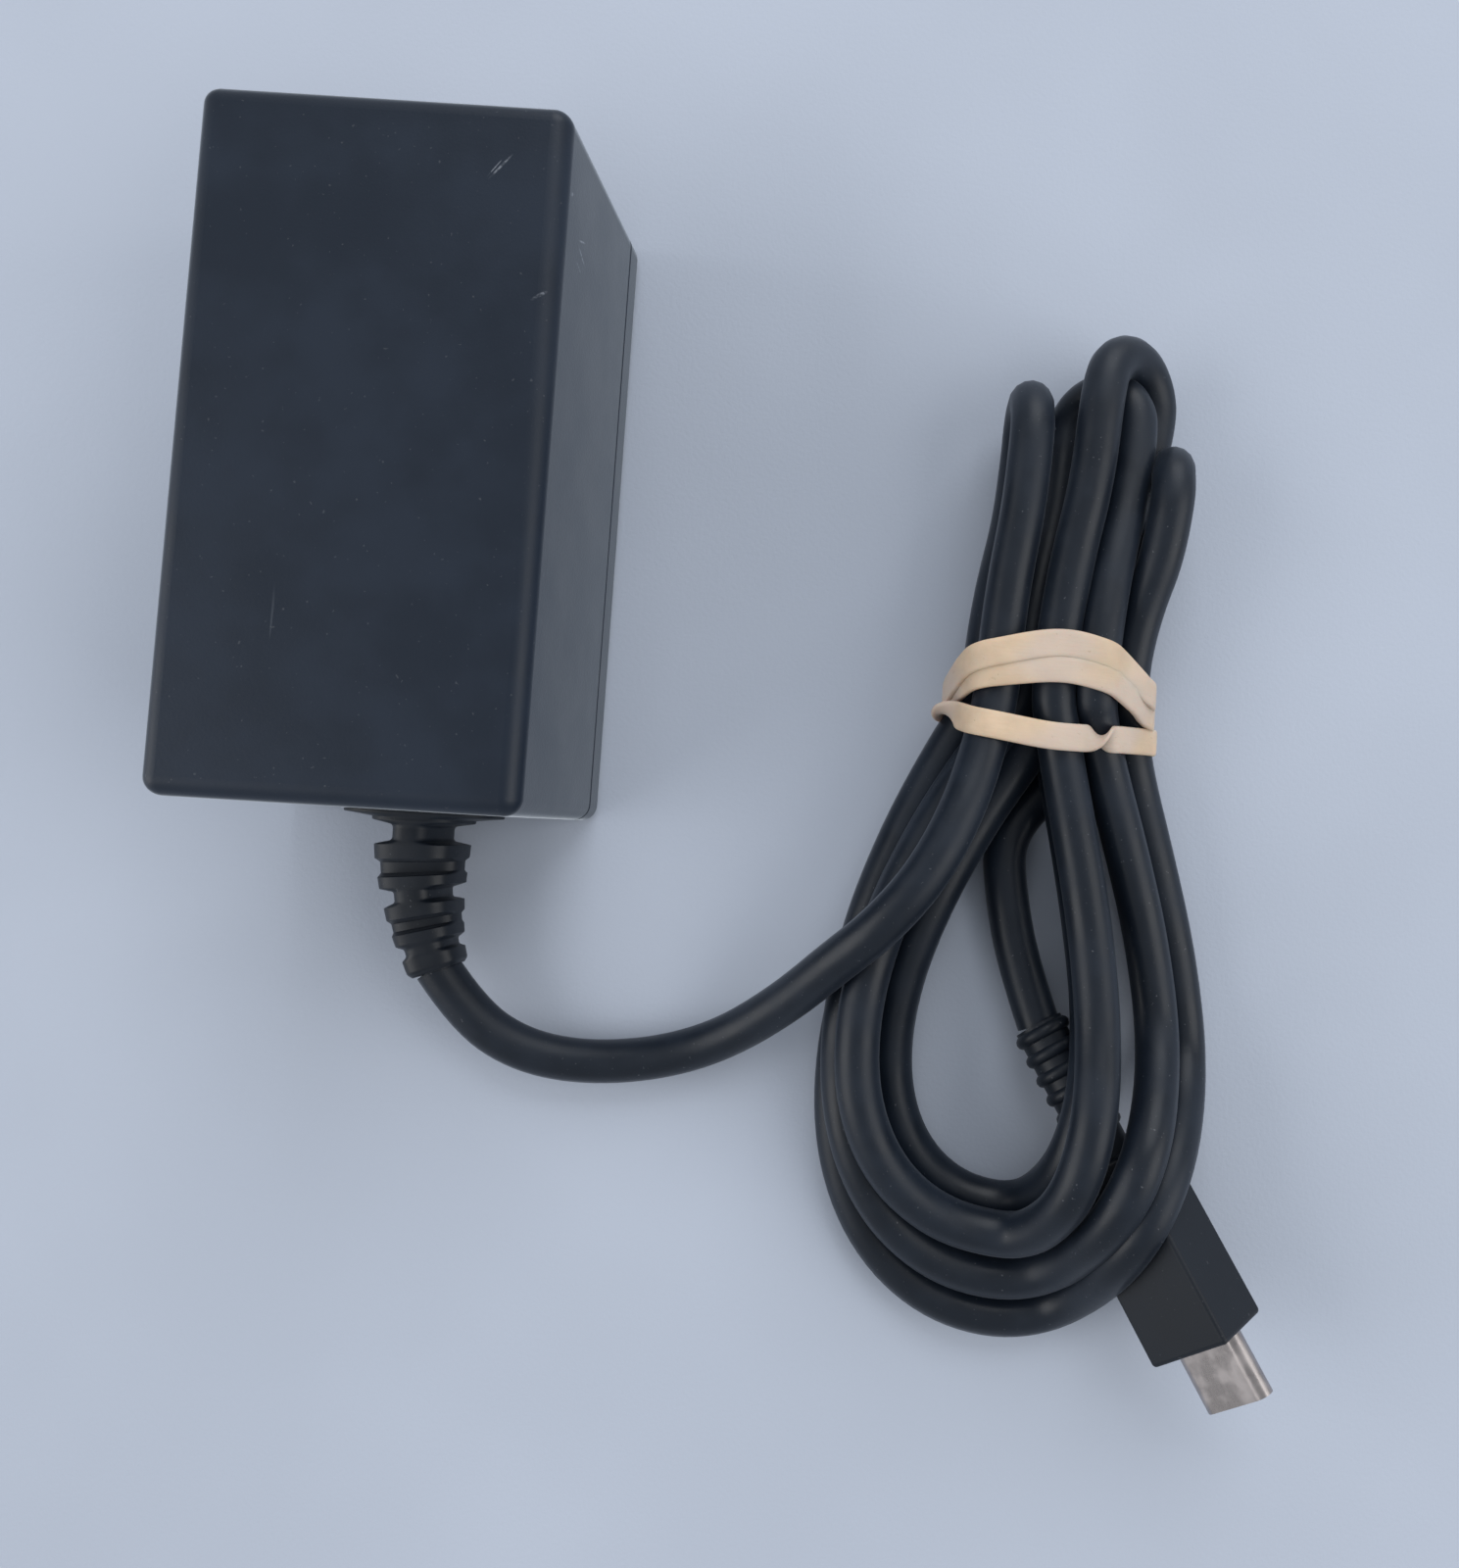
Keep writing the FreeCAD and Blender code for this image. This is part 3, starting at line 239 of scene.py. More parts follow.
    def set(self, **numbers: float | Colour) -> None:
        """Set plain values on the shader, with underscores for spaces."""
        for key, value in numbers.items():
            socket = self.shader.inputs[key.replace("_", " ")]
            socket.default_value = (*value, 1) if isinstance(value, tuple) else value

    def feed(self, name: str, value: bpy.types.NodeSocket) -> None:
        """Drive one shader input by a socket."""
        self.join(value, self.shader.inputs[name])


def scaled(colour: Colour, factor: float) -> Colour:
    """A colour made lighter or darker."""
    return tuple(min(channel * factor, 1.0) for channel in colour)


# ---- finishes -------------------------------------------------------------------------------------
@dataclass(frozen=True)
class MouldedPlastic:
    """Spark-textured moulded plastic with dust, a few scuffs and hairline scratches."""

    name: str
    colour: Colour
    roughness: float = 0.5
    grain: float = 0.28 * MM
    grain_depth: float = 0.012 * MM
    dust: float = 0.1
    scuffs: tuple[Scuff, ...] = ()
    specular: float = 0.5
    bloom: float = 0.0

    def build(self) -> bpy.types.Material:
        """Make the material."""
        graph = Graph(self.name)
        blotches = graph.noise(9 * MM, 4.0)
        colour = graph.mix(graph.ramp(blotches, 0.35, 0.7), scaled(self.colour, 0.9),
                           scaled(self.colour, 1.14))
        fine = graph.noise(self.grain, 2.0)
        specks = graph.ramp(graph.noise(0.42 * MM, 1.0), 0.735, 0.79, 0.0, self.dust)
        colour = graph.mix(specks, colour, (0.30, 0.31, 0.33))
        hair = graph.noise(1.0, 2.0, graph.stretched((900.0, 45.0, 300.0)))
        scratches = graph.ramp(hair, 0.735, 0.77, 0.0, 1.0)
        worn = graph.math("MULTIPLY", scratches, graph.ramp(graph.noise(16 * MM, 2.0), 0.52, 0.7))
        worn = graph.math("MULTIPLY", worn, 0.2)
        streaks = graph.ramp(graph.noise(0.35 * MM, 3.0), 0.36, 0.6, 0.1, 1.0)
        for scuff in self.scuffs:
            worn = graph.math("MAXIMUM", worn, graph.math("MULTIPLY", streaks, graph.spot(scuff)))
        colour = graph.mix(graph.math("MULTIPLY", worn, 0.6), colour, (0.24, 0.26, 0.30))
        graph.feed("Base Color", colour)
        graph.feed("Roughness", graph.ramp(blotches, 0.3, 0.75, self.roughness - 0.05, self.roughness + 0.06))
        graph.set(Specular_IOR_Level=self.specular, Sheen_Weight=self.bloom, Sheen_Roughness=0.26,
                  Sheen_Tint=(0.86, 0.93, 1.0))
        graph.bump(fine, self.grain_depth)
        graph.bump(worn, -0.01 * MM)
        return graph.material


@dataclass(frozen=True)
class CordJacket:
    """Soft satin cord jacket: faint matting, lint and a thin lighter bloom."""

    name: str
    colour: Colour
    roughness: float = 0.42
    sheen: float = 0.25

    def build(self) -> bpy.types.Material:
        """Make the material."""
        graph = Graph(self.name)
        cloud = graph.noise(6 * MM, 4.0)
        colour = graph.mix(graph.ramp(cloud, 0.35, 0.7), scaled(self.colour, 0.86), scaled(self.colour, 1.2))
        lint = graph.ramp(graph.noise(0.3 * MM, 1.0), 0.74, 0.8, 0.0, 0.3)
        colour = graph.mix(lint, colour, (0.25, 0.26, 0.29))
        graph.feed("Base Color", colour)
        graph.feed("Roughness", graph.ramp(cloud, 0.3, 0.75, self.roughness - 0.06, self.roughness + 0.08))
        graph.set(Sheen_Weight=self.sheen, Sheen_Roughness=0.35, Sheen_Tint=(0.65, 0.72, 0.85),
                  Specular_IOR_Level=0.3)
        graph.bump(graph.noise(0.22 * MM, 2.0), 0.01 * MM)
        graph.bump(graph.noise(3.5 * MM, 2.0), 0.05 * MM)
        return graph.material


@dataclass(frozen=True)
class BandRubber:
    """Natural tan rubber: a little translucent, dusty, with fine marks across the strip."""

    name: str
    colour: Colour
    pale: Colour

    def build(self) -> bpy.types.Material:
        """Make the material."""
        graph = Graph(self.name)
        cloud = graph.noise(4 * MM, 5.0)
        colour = graph.mix(graph.ramp(cloud, 0.3, 0.72), scaled(self.colour, 0.88), scaled(self.colour, 1.08))
        pale = graph.ramp(graph.noise(11 * MM, 1.0), 0.42, 0.6, 0.0, 0.6)
        colour = graph.mix(pale, colour, self.pale)
        flecks = graph.ramp(graph.noise(0.5 * MM, 2.0), 0.68, 0.76, 0.0, 0.5)
        colour = graph.mix(flecks, colour, scaled(self.colour, 0.6))
        graph.feed("Base Color", colour)
        graph.set(Roughness=0.55, Subsurface_Weight=0.15, Subsurface_Scale=1.2 * MM)
        graph.bump(graph.noise(1.0, 2.0, graph.stretched((500.0, 3200.0, 500.0))), 0.03 * MM)
        graph.bump(graph.noise(0.4 * MM, 3.0), 0.015 * MM)
        return graph.material


@dataclass(frozen=True)
class PlatedMetal:
    """Plated sheet metal with fine drawn lines and light handling marks."""

    name: str
    colour: Colour
    roughness: float = 0.25
    lines: Point = (200.0, 2500.0, 2500.0)
    turn: float = 0.0

    def build(self) -> bpy.types.Material:
        """Make the material."""
        graph = Graph(self.name)
        mapping = graph.add("ShaderNodeMapping")
        mapping.vector_type = "TEXTURE"
        mapping.inputs["Rotation"].default_value = (0.0, 0.0, math.radians(self.turn))
        mapping.inputs["Scale"].default_value = tuple(1 / value for value in self.lines)
        graph.join(graph.place, mapping.inputs["Vector"])
        drawn = graph.noise(1.0, 2.0, mapping.outputs["Vector"])
        smudge = graph.noise(2.2 * MM, 4.0)
        graph.feed("Base Color", graph.mix(graph.ramp(smudge, 0.35, 0.7), scaled(self.colour, 0.86),
                                           self.colour))
        rough = graph.math("ADD", graph.ramp(smudge, 0.4, 0.7, self.roughness, self.roughness + 0.16),
                           graph.math("MULTIPLY", drawn, 0.06))
        graph.feed("Roughness", rough)
        graph.set(Metallic=1.0)
        graph.bump(drawn, 0.004 * MM)
        return graph.material


@dataclass(frozen=True)
class BoardLacquer:
    """Green solder mask over copper tracks."""

    name: str
    colour: Colour

    def build(self) -> bpy.types.Material:
        """Make the material."""
        graph = Graph(self.name)
        bricks = graph.add("ShaderNodeTexBrick", offset=0.35, squash=1.6)
        bricks.inputs["Scale"].default_value = 1.0
        bricks.inputs["Mortar Size"].default_value = 0.35
        bricks.inputs["Brick Width"].default_value = 6.0
        bricks.inputs["Row Height"].default_value = 2.4
        graph.join(graph.stretched((1000.0, 1000.0, 1000.0)), bricks.inputs["Vector"])
        tracks = bricks.outputs["Fac"]
        cloud = graph.noise(5 * MM, 3.0)
        colour = graph.mix(graph.ramp(cloud, 0.3, 0.7), scaled(self.colour, 0.85), scaled(self.colour, 1.1))
        graph.feed("Base Color", graph.mix(tracks, colour, scaled(self.colour, 0.55)))
        graph.set(Roughness=0.32, Coat_Weight=0.3, Coat_Roughness=0.15)
        graph.bump(tracks, -0.04 * MM)
        return graph.material


@dataclass(frozen=True)
class ComponentFinish:
    """Finish of a sealed inner part: body colour, mottling, fine relief and its gloss."""

    name: str
    colour: Colour
    roughness: float = 0.45
    metallic: float = 0.0
    grain: float = 0.3 * MM
    depth: float = 0.01 * MM
    stretch: Point = (1.0, 1.0, 1.0)
    variation: float = 0.15

    def build(self) -> bpy.types.Material:
        """Make the material."""
        graph = Graph(self.name)
        cloud = graph.noise(3 * MM, 3.0)
        darker, lighter = scaled(self.colour, 1 - self.variation), scaled(self.colour, 1 + self.variation)
        graph.feed("Base Color", graph.mix(graph.ramp(cloud, 0.3, 0.7), darker, lighter))
        graph.feed("Roughness", graph.ramp(cloud, 0.3, 0.7, self.roughness - 0.06, self.roughness + 0.06))
        graph.set(Metallic=self.metallic)
        graph.bump(graph.noise(self.grain, 2.0, graph.stretched(self.stretch)), self.depth)
        return graph.material


@dataclass(frozen=True)
class ClearFilm:
    """Clear polyester film."""

    name: str
    colour: Colour

    def build(self) -> bpy.types.Material:
        """Make the material."""
        graph = Graph(self.name)
        graph.feed("Base Color", graph.mix(graph.noise(8 * MM), self.colour, scaled(self.colour, 0.9)))
        graph.set(Roughness=0.18, Alpha=0.55)
        graph.bump(graph.noise(4 * MM, 2.0), 0.05 * MM)
        return graph.material


# ---- camera, floor and lamps ----------------------------------------------------------------------
@dataclass
class Studio:
    """Pale floor, soft light and the camera."""

    camera_place: Point = (54.05, -32.88, 151.8)
    camera_right: Point = (0.9981, 0.06138, 0.00569)
    camera_up: Point = (-0.06159, 0.99683, 0.0504)
    lens: float = 32.658
    shift: tuple[float, float] = (-0.13385, -0.01049)
    floor_colour: Colour = (0.44, 0.485, 0.575)
    floor_half: float = 900 * MM
    world_colour: Colour = (0.92, 0.96, 1.0)
    world_strength: float = 0.46
    lamp_size: float = 800 * MM
    lamp_target: Point = (30, -30, 0)

    def build(self) -> None:
        """Set up everything that isn't part of the adapter."""
        scene = bpy.context.scene
        scene.view_settings.view_transform = "Standard"
        self.camera()
        self.floor()
        self.world()
        self.lamp("window", (240, 780, 590), 5.8, (0.96, 0.98, 1.0))
        self.lamp("room", (870, -150, 610), 4.6, (1.0, 0.99, 0.97))
        self.lamp("wall", (-850, -230, 500), 5.6, (1.0, 0.99, 0.98))

    def camera(self) -> None:
        """Make the camera from its place and two axes."""
        data = bpy.data.cameras.new("camera")
        data.sensor_fit, data.sensor_width, data.lens = "HORIZONTAL", 36.0, self.lens
        data.shift_x, data.shift_y = self.shift
        data.clip_start = 5 * MM
        right, up = Vector(self.camera_right), Vector(self.camera_up)
        back = right.cross(up)
        turn = Matrix((right, up, back)).transposed().to_4x4()
        camera = bpy.data.objects.new("camera", data)
        camera.matrix_world = Matrix.Translation(Vector(self.camera_place) * MM) @ turn
        bpy.context.scene.collection.objects.link(camera)
        bpy.context.scene.camera = camera

    def floor(self) -> None:
        """Make the pale cloth-like floor."""
        graph = Graph("floor_cloth")
        cloud = graph.noise(60 * MM, 3.0)
        graph.feed("Base Color", graph.mix(graph.ramp(cloud, 0.3, 0.7), scaled(self.floor_colour, 0.97),
                                           scaled(self.floor_colour, 1.03)))
        graph.set(Roughness=0.9, Specular_IOR_Level=0.2)
        graph.bump(graph.noise(0.5 * MM, 2.0), 0.03 * MM)
        mesh = bpy.data.meshes.new("floor")
        half = self.floor_half
        corners = [(-half, -half, 0), (half, -half, 0), (half, half, 0), (-half, half, 0)]
        mesh.from_pydata(corners, [], [(0, 1, 2, 3)])
        mesh_object("floor", mesh, graph.material)

    def world(self) -> None:
        """Light everything evenly from all round."""
        world = bpy.data.worlds.new("room_light")
        world.use_nodes = True
        background = world.node_tree.nodes["Background"]
        background.inputs["Color"].default_value = (*self.world_colour, 1)
        background.inputs["Strength"].default_value = self.world_strength
        bpy.context.scene.world = world

    def lamp(self, name: str, place: Point, power: float, colour: Colour) -> None:
        """Add one soft square lamp that faces the adapter.

        Args:
            name: The lamp's name.
            place: Its centre in millimetres.
            power: Watts.
            colour: Its tint.
        """
        data = bpy.data.lights.new(name, "AREA")
        data.shape, data.size, data.energy, data.color = "SQUARE", self.lamp_size, power, colour
        lamp = bpy.data.objects.new(name, data)
        aim = Vector(self.lamp_target) - Vector(place)
        facing = aim.to_track_quat("-Z", "Y").to_matrix().to_4x4()
        lamp.matrix_world = Matrix.Translation(Vector(place) * MM) @ facing
        bpy.context.scene.collection.objects.link(lamp)


# ---- cord -----------------------------------------------------------------------------------------
@dataclass(frozen=True)
class PlugPose:
    """How the plug lies: where the cord enters it, its heading and its raised nose."""

    entry: Point = (68.8, -53.0, 3.4)
    heading: float = -58.5
    pitch: float = 12.0
    relief_clear: float = 5.7    # from the plug's axis up to the axis of a strand on its strain relief
    grip_clear: float = 8.9      # and on its grip
    grip_start: float = 12.5     # distance from the entry where the grip begins to lift a strand
    grip_ridge: float = 1.45     # how far aside the grip's top edge runs
    relief_start: float = -1.0   # distance from the entry where the strain relief begins to lift a strand
    rise: float = 4.0            # distance over which either lift comes in
    relief_breadth: float = 6.0  # how far aside either still lifts
    grip_breadth: float = 9.0

    def placement(self) -> Matrix:
        """Matrix from the plug's own axes, X forward, in metres."""
        return (Matrix.Translation(Vector(self.entry) * MM)
                @ Matrix.Rotation(math.radians(self.heading), 4, "Z")
                @ Matrix.Rotation(math.radians(-self.pitch), 4, "Y"))

    def lift(self, x: float, y: float) -> float:
        """Height that the plug asks of a strand's axis that crosses it at x, y."""
        heading = math.radians(self.heading)
        away_x, away_y = x - self.entry[0], y - self.entry[1]
        along = away_x * math.cos(heading) + away_y * math.sin(heading)
        aside = away_y * math.cos(heading) - away_x * math.sin(heading)
        grip = ease((along - self.grip_start) / self.rise)
        axis = self.entry[2] + along * math.tan(math.radians(self.pitch))
        clear = between(self.relief_clear, self.grip_clear, grip)
        top = (axis + clear) * ease((along - self.relief_start) / self.rise)
        breadth = between(self.relief_breadth, self.grip_breadth, grip)
        return top * math.exp(-((aside - self.grip_ridge * grip) / breadth) ** 2)


@dataclass(frozen=True)
class Spot:
    """Place of a strand's axis in a section across the bundle, in millimetres."""

    x: float
    z: float

    def toward(self, other: "Spot", share: float) -> "Spot":
        """Spot a share of the way to another."""
        return Spot(between(self.x, other.x, share), between(self.z, other.z, share))


class Waist(Enum):
    """Where each of the ten strands lies under the band, in three layers."""

    TOP_LEFT = Spot(61.6, 11.9)
    TOP_MIDDLE = Spot(67.6, 11.9)
    TOP_RIGHT = Spot(72.0, 11.9)
    FAR_LEFT = Spot(60.3, 7.3)
    INNER_LEFT = Spot(64.8, 7.6)
    INNER_RIGHT = Spot(69.7, 7.4)
    FAR_RIGHT = Spot(76.0, 7.8)
    BASE_LEFT = Spot(62.6, 3.4)
    BASE_MIDDLE = Spot(67.6, 3.4)
    BASE_RIGHT = Spot(73.4, 3.4)


@dataclass(frozen=True)
class Crown:
    """Fold above the band: where the cord turns back from one strand into another."""

    rising: Spot
    falling: Spot
    centre_y: float


@dataclass(frozen=True)
class Turn:
    """Drop-shaped loop below the band, with its bulges, its lowest point and its heights."""

    left: Waist
    right: Waist
    left_bulge: float
    right_bulge: float
    base_x: float
    base_y: float
    heights: tuple[float, ...]   # at the stations between its two ends
    tuck: float = 0.0            # how far its lower right is drawn in
    over_plug: float = 0.0       # extra height where it rides over the plug on another turn


@dataclass
class Cord:
    """The captive cord, from the brick's strain relief through the tied hank to the plug."""

    diameter: float = 4.8 * MM
    waist_y: float = -17.0
    lead_route: tuple[Point, ...] = (
        (2.6, -50.4, 6.0),
        (6.1, -55.4, 5.2),
        (11.4, -59.1, 3.8),
        (18.2, -60.4, 2.7),
        (26.6, -59.5, 2.5),
        (34.1, -56.7, 3.6),
        (41.0, -51.7, 7.8),
        (46.1, -46.8, 12.0),
    )
    over_turns: tuple[Point, ...] = (
        (50.6, -42.8, 14.9),
        (55.0, -37.4, 15.6),
        (58.2, -31.0, 15.0),
        (60.3, -24.2, 13.0),
    )
    under_turns: tuple[Point, ...] = (
        (72.6, -22.6, 3.1),
        (67.6, -27.2, 2.7),
    )
    tail_route: tuple[Point, ...] = (
        (63.6, -32.6, 3.4),
        (64.5, -39.4, 2.7),
        (66.2, -46.4, 2.6),
        (68.8, -53.0, 3.4),
    )
    laps: tuple[tuple[Crown, Turn | None], ...] = (
        (Crown(Spot(63.7, 12.3), Spot(63.3, 2.9), 10.6),
         Turn(Waist.FAR_LEFT, Waist.TOP_RIGHT, 22.0, 21.9, 66.0, -80.6,
              (5.6, 6.6, 4.8, 9.0, 6.8, 8.8), 4.5, 2.0)),
        (Crown(Spot(75.2, 8.7), Spot(68.3, 3.4), 13.1),
         Turn(Waist.INNER_LEFT, Waist.TOP_MIDDLE, 22.0, 12.4, 66.0, -75.2,
              (9.2, 10.2, 7.6, 16.3, 11.6, 11.2), 2.5)),
        (Crown(Spot(71.2, 12.2), Spot(78.0, 4.4), 15.6),
         Turn(Waist.INNER_RIGHT, Waist.BASE_MIDDLE, 19.4, 12.4, 66.0, -73.4,
              (6.9, 2.6, 2.4, 4.2, 2.6, 6.2))),
        (Crown(Spot(71.4, 2.6), Spot(62.6, 2.6), -2.6),
         Turn(Waist.BASE_LEFT, Waist.FAR_RIGHT, 24.4, 24.8, 66.4, -85.6,
              (2.6, 2.4, 2.4, 2.6, 2.6, 3.8), 3.0)),
        (Crown(Spot(79.3, 11.2), Spot(80.2, 2.6), 4.9), None),
    )
    stations: tuple[float, ...] = (0.0, 0.2, 0.34, 0.5, 0.64, 0.76, 0.87, 1.0)
    steps: int = 18          # points of a turn, waist to waist
    crown_steps: int = 5
    crown_swell: float = 1.06
    plug: PlugPose = PlugPose()
    hub: tuple[float, float] = (54.0, -33.0)
    draw_in: float = 1 / 150     # share of the way to the hub that a strand gives up for each mm of lift
    right_taper: float = 1.6     # how much narrower a turn's right side is towards the waist
    tuck_power: int = 6
    lift_power: int = 6          # how sharply a turn's own height gives way to the plug's
    leg_starts: tuple[float, float] = (4.5, 1.5)    # from the waist, and short of the fold
    leg_shares: tuple[float, ...] = (0.0, 0.36, 0.7)

    def height_at(self, turn: Turn, share: float) -> float:
        """Height of a turn's axis at a share of its way round, before the plug lifts it."""
        heights = (turn.left.value.z, *turn.heights, turn.right.value.z)
        for start, end, low, high in zip(self.stations, self.stations[1:], heights, heights[1:]):
            if share <= end:
                return between(low, high, ease((share - start) / (end - start)))
        return heights[-1]

    def turn_points(self, turn: Turn) -> list[Point]:
        """Points of one loop, from the left of the waist round to its right."""
        points = []
        for step in range(1, self.steps):
            share = step / self.steps
            sweep = 2 * math.pi * share
            deep = math.sin(sweep / 2)
            left_half = share <= 0.5
            start = (turn.left if left_half else turn.right).value
            bulge = turn.left_bulge if left_half else turn.right_bulge
            taper = 1.0 if left_half else self.right_taper
            tuck = 0.0 if left_half else turn.tuck
            across = math.sin(sweep)
            x = between(start.x, turn.base_x, deep ** 2)
            x += across * (tuck * deep ** self.tuck_power - bulge * deep ** taper)
            y = between(self.waist_y, turn.base_y, deep ** 2)
            level = self.height_at(turn, share)
            lift = self.plug.lift(x, y)
            lift += turn.over_plug * ease(lift / self.plug.grip_clear - 0.5)
            height = (level ** self.lift_power + lift ** self.lift_power) ** (1 / self.lift_power)
            drawn = (height - level) * self.draw_in
            points.append((between(x, self.hub[0], drawn), between(y, self.hub[1], drawn), height))
        return points

    def leg_points(self, waist: Spot, crown: Spot, centre_y: float) -> list[Point]:
        """Points of one strand from the waist up to where its fold starts."""
        low, high = self.waist_y + self.leg_starts[0], centre_y - self.leg_starts[1]
        legs = []
        for share in self.leg_shares:
            spot = waist.toward(crown, ease(share))
            legs.append((spot.x, between(low, high, share), spot.z))
        return legs

    def crown_points(self, start: Spot, crown: Crown, end: Spot) -> list[Point]:
        """Points of one fold with both its legs, from waist to waist."""
        middle = crown.rising.toward(crown.falling, 0.5)
        half_x, half_z = crown.rising.x - middle.x, crown.rising.z - middle.z
        radius = math.hypot(half_x, half_z)
        fold = []
        for step in range(self.crown_steps + 1):
            angle = math.pi * step / self.crown_steps
            out, up = math.cos(angle) * self.crown_swell, math.sin(angle) * self.crown_swell
            fold.append((middle.x + half_x * out, crown.centre_y + radius * up, middle.z + half_z * out))
        falling = self.leg_points(end, crown.falling, crown.centre_y)
        return [*self.leg_points(start, crown.rising, crown.centre_y), *fold, *reversed(falling)]

    def route(self) -> list[Vector]:
        """Every control point of the cord, in metres."""
        here = Waist.TOP_LEFT.value
        points = [*self.lead_route, *self.over_turns, (here.x, self.waist_y, here.z)]
        for crown, turn in self.laps:
            landing = turn.left.value if turn else Waist.BASE_RIGHT.value
            points += self.crown_points(here, crown, landing)
            points.append((landing.x, self.waist_y, landing.z))
            if turn:
                here = turn.right.value
                points += self.turn_points(turn)
                points.append((here.x, self.waist_y, here.z))
        points += [*self.under_turns, *self.tail_route]
        return in_metres(points)

    def build(self, material: bpy.types.Material) -> bpy.types.Object:
        """Make the cord as one smooth curve.

        Args:
            material: The jacket's finish.

        Returns:
            The cord.
        """
        points = self.route()
        data = bpy.data.curves.new("cord", "CURVE")
        data.dimensions = "3D"
        spline = data.splines.new("NURBS")
        spline.points.add(len(points) - 1)
        for control, point in zip(spline.points, points):
            control.co = (*point, 1.0)
        spline.order_u = 3
        spline.use_endpoint_u = True
        data.resolution_u = 7
        data.bevel_depth = self.diameter / 2
        data.bevel_resolution = 6
        data.use_fill_caps = True
        data.materials.append(material)
        cord = bpy.data.objects.new("cord", data)
        bpy.context.scene.collection.objects.link(cord)
        return cord

    def centreline(self, cord: bpy.types.Object) -> list[Vector]:
        """Points along the smooth line of the cord."""
        bare = cord.data.copy()
        bare.bevel_depth = 0.0
        helper = bpy.data.objects.new("cord_line", bare)
        bpy.context.scene.collection.objects.link(helper)
        mesh = bpy.data.meshes.new_from_object(helper.evaluated_get(bpy.context.evaluated_depsgraph_get()))
        line = [vertex.co.copy() for vertex in mesh.vertices]
        bpy.data.objects.remove(helper)
        return line

    def length(self, cord: bpy.types.Object) -> float:
        """Length of the cord's smooth line in metres."""
        line = self.centreline(cord)
        return sum((after - before).length for before, after in zip(line, line[1:]))


# ---- rubber band ----------------------------------------------------------------------------------
@dataclass(frozen=True)
class Wrap:
    """Where one wrap of the band runs along the bundle, and how far its left side stands off."""

    left_y: float
    top_y: float
    right_y: float
    base_y: float
    left_lift: float


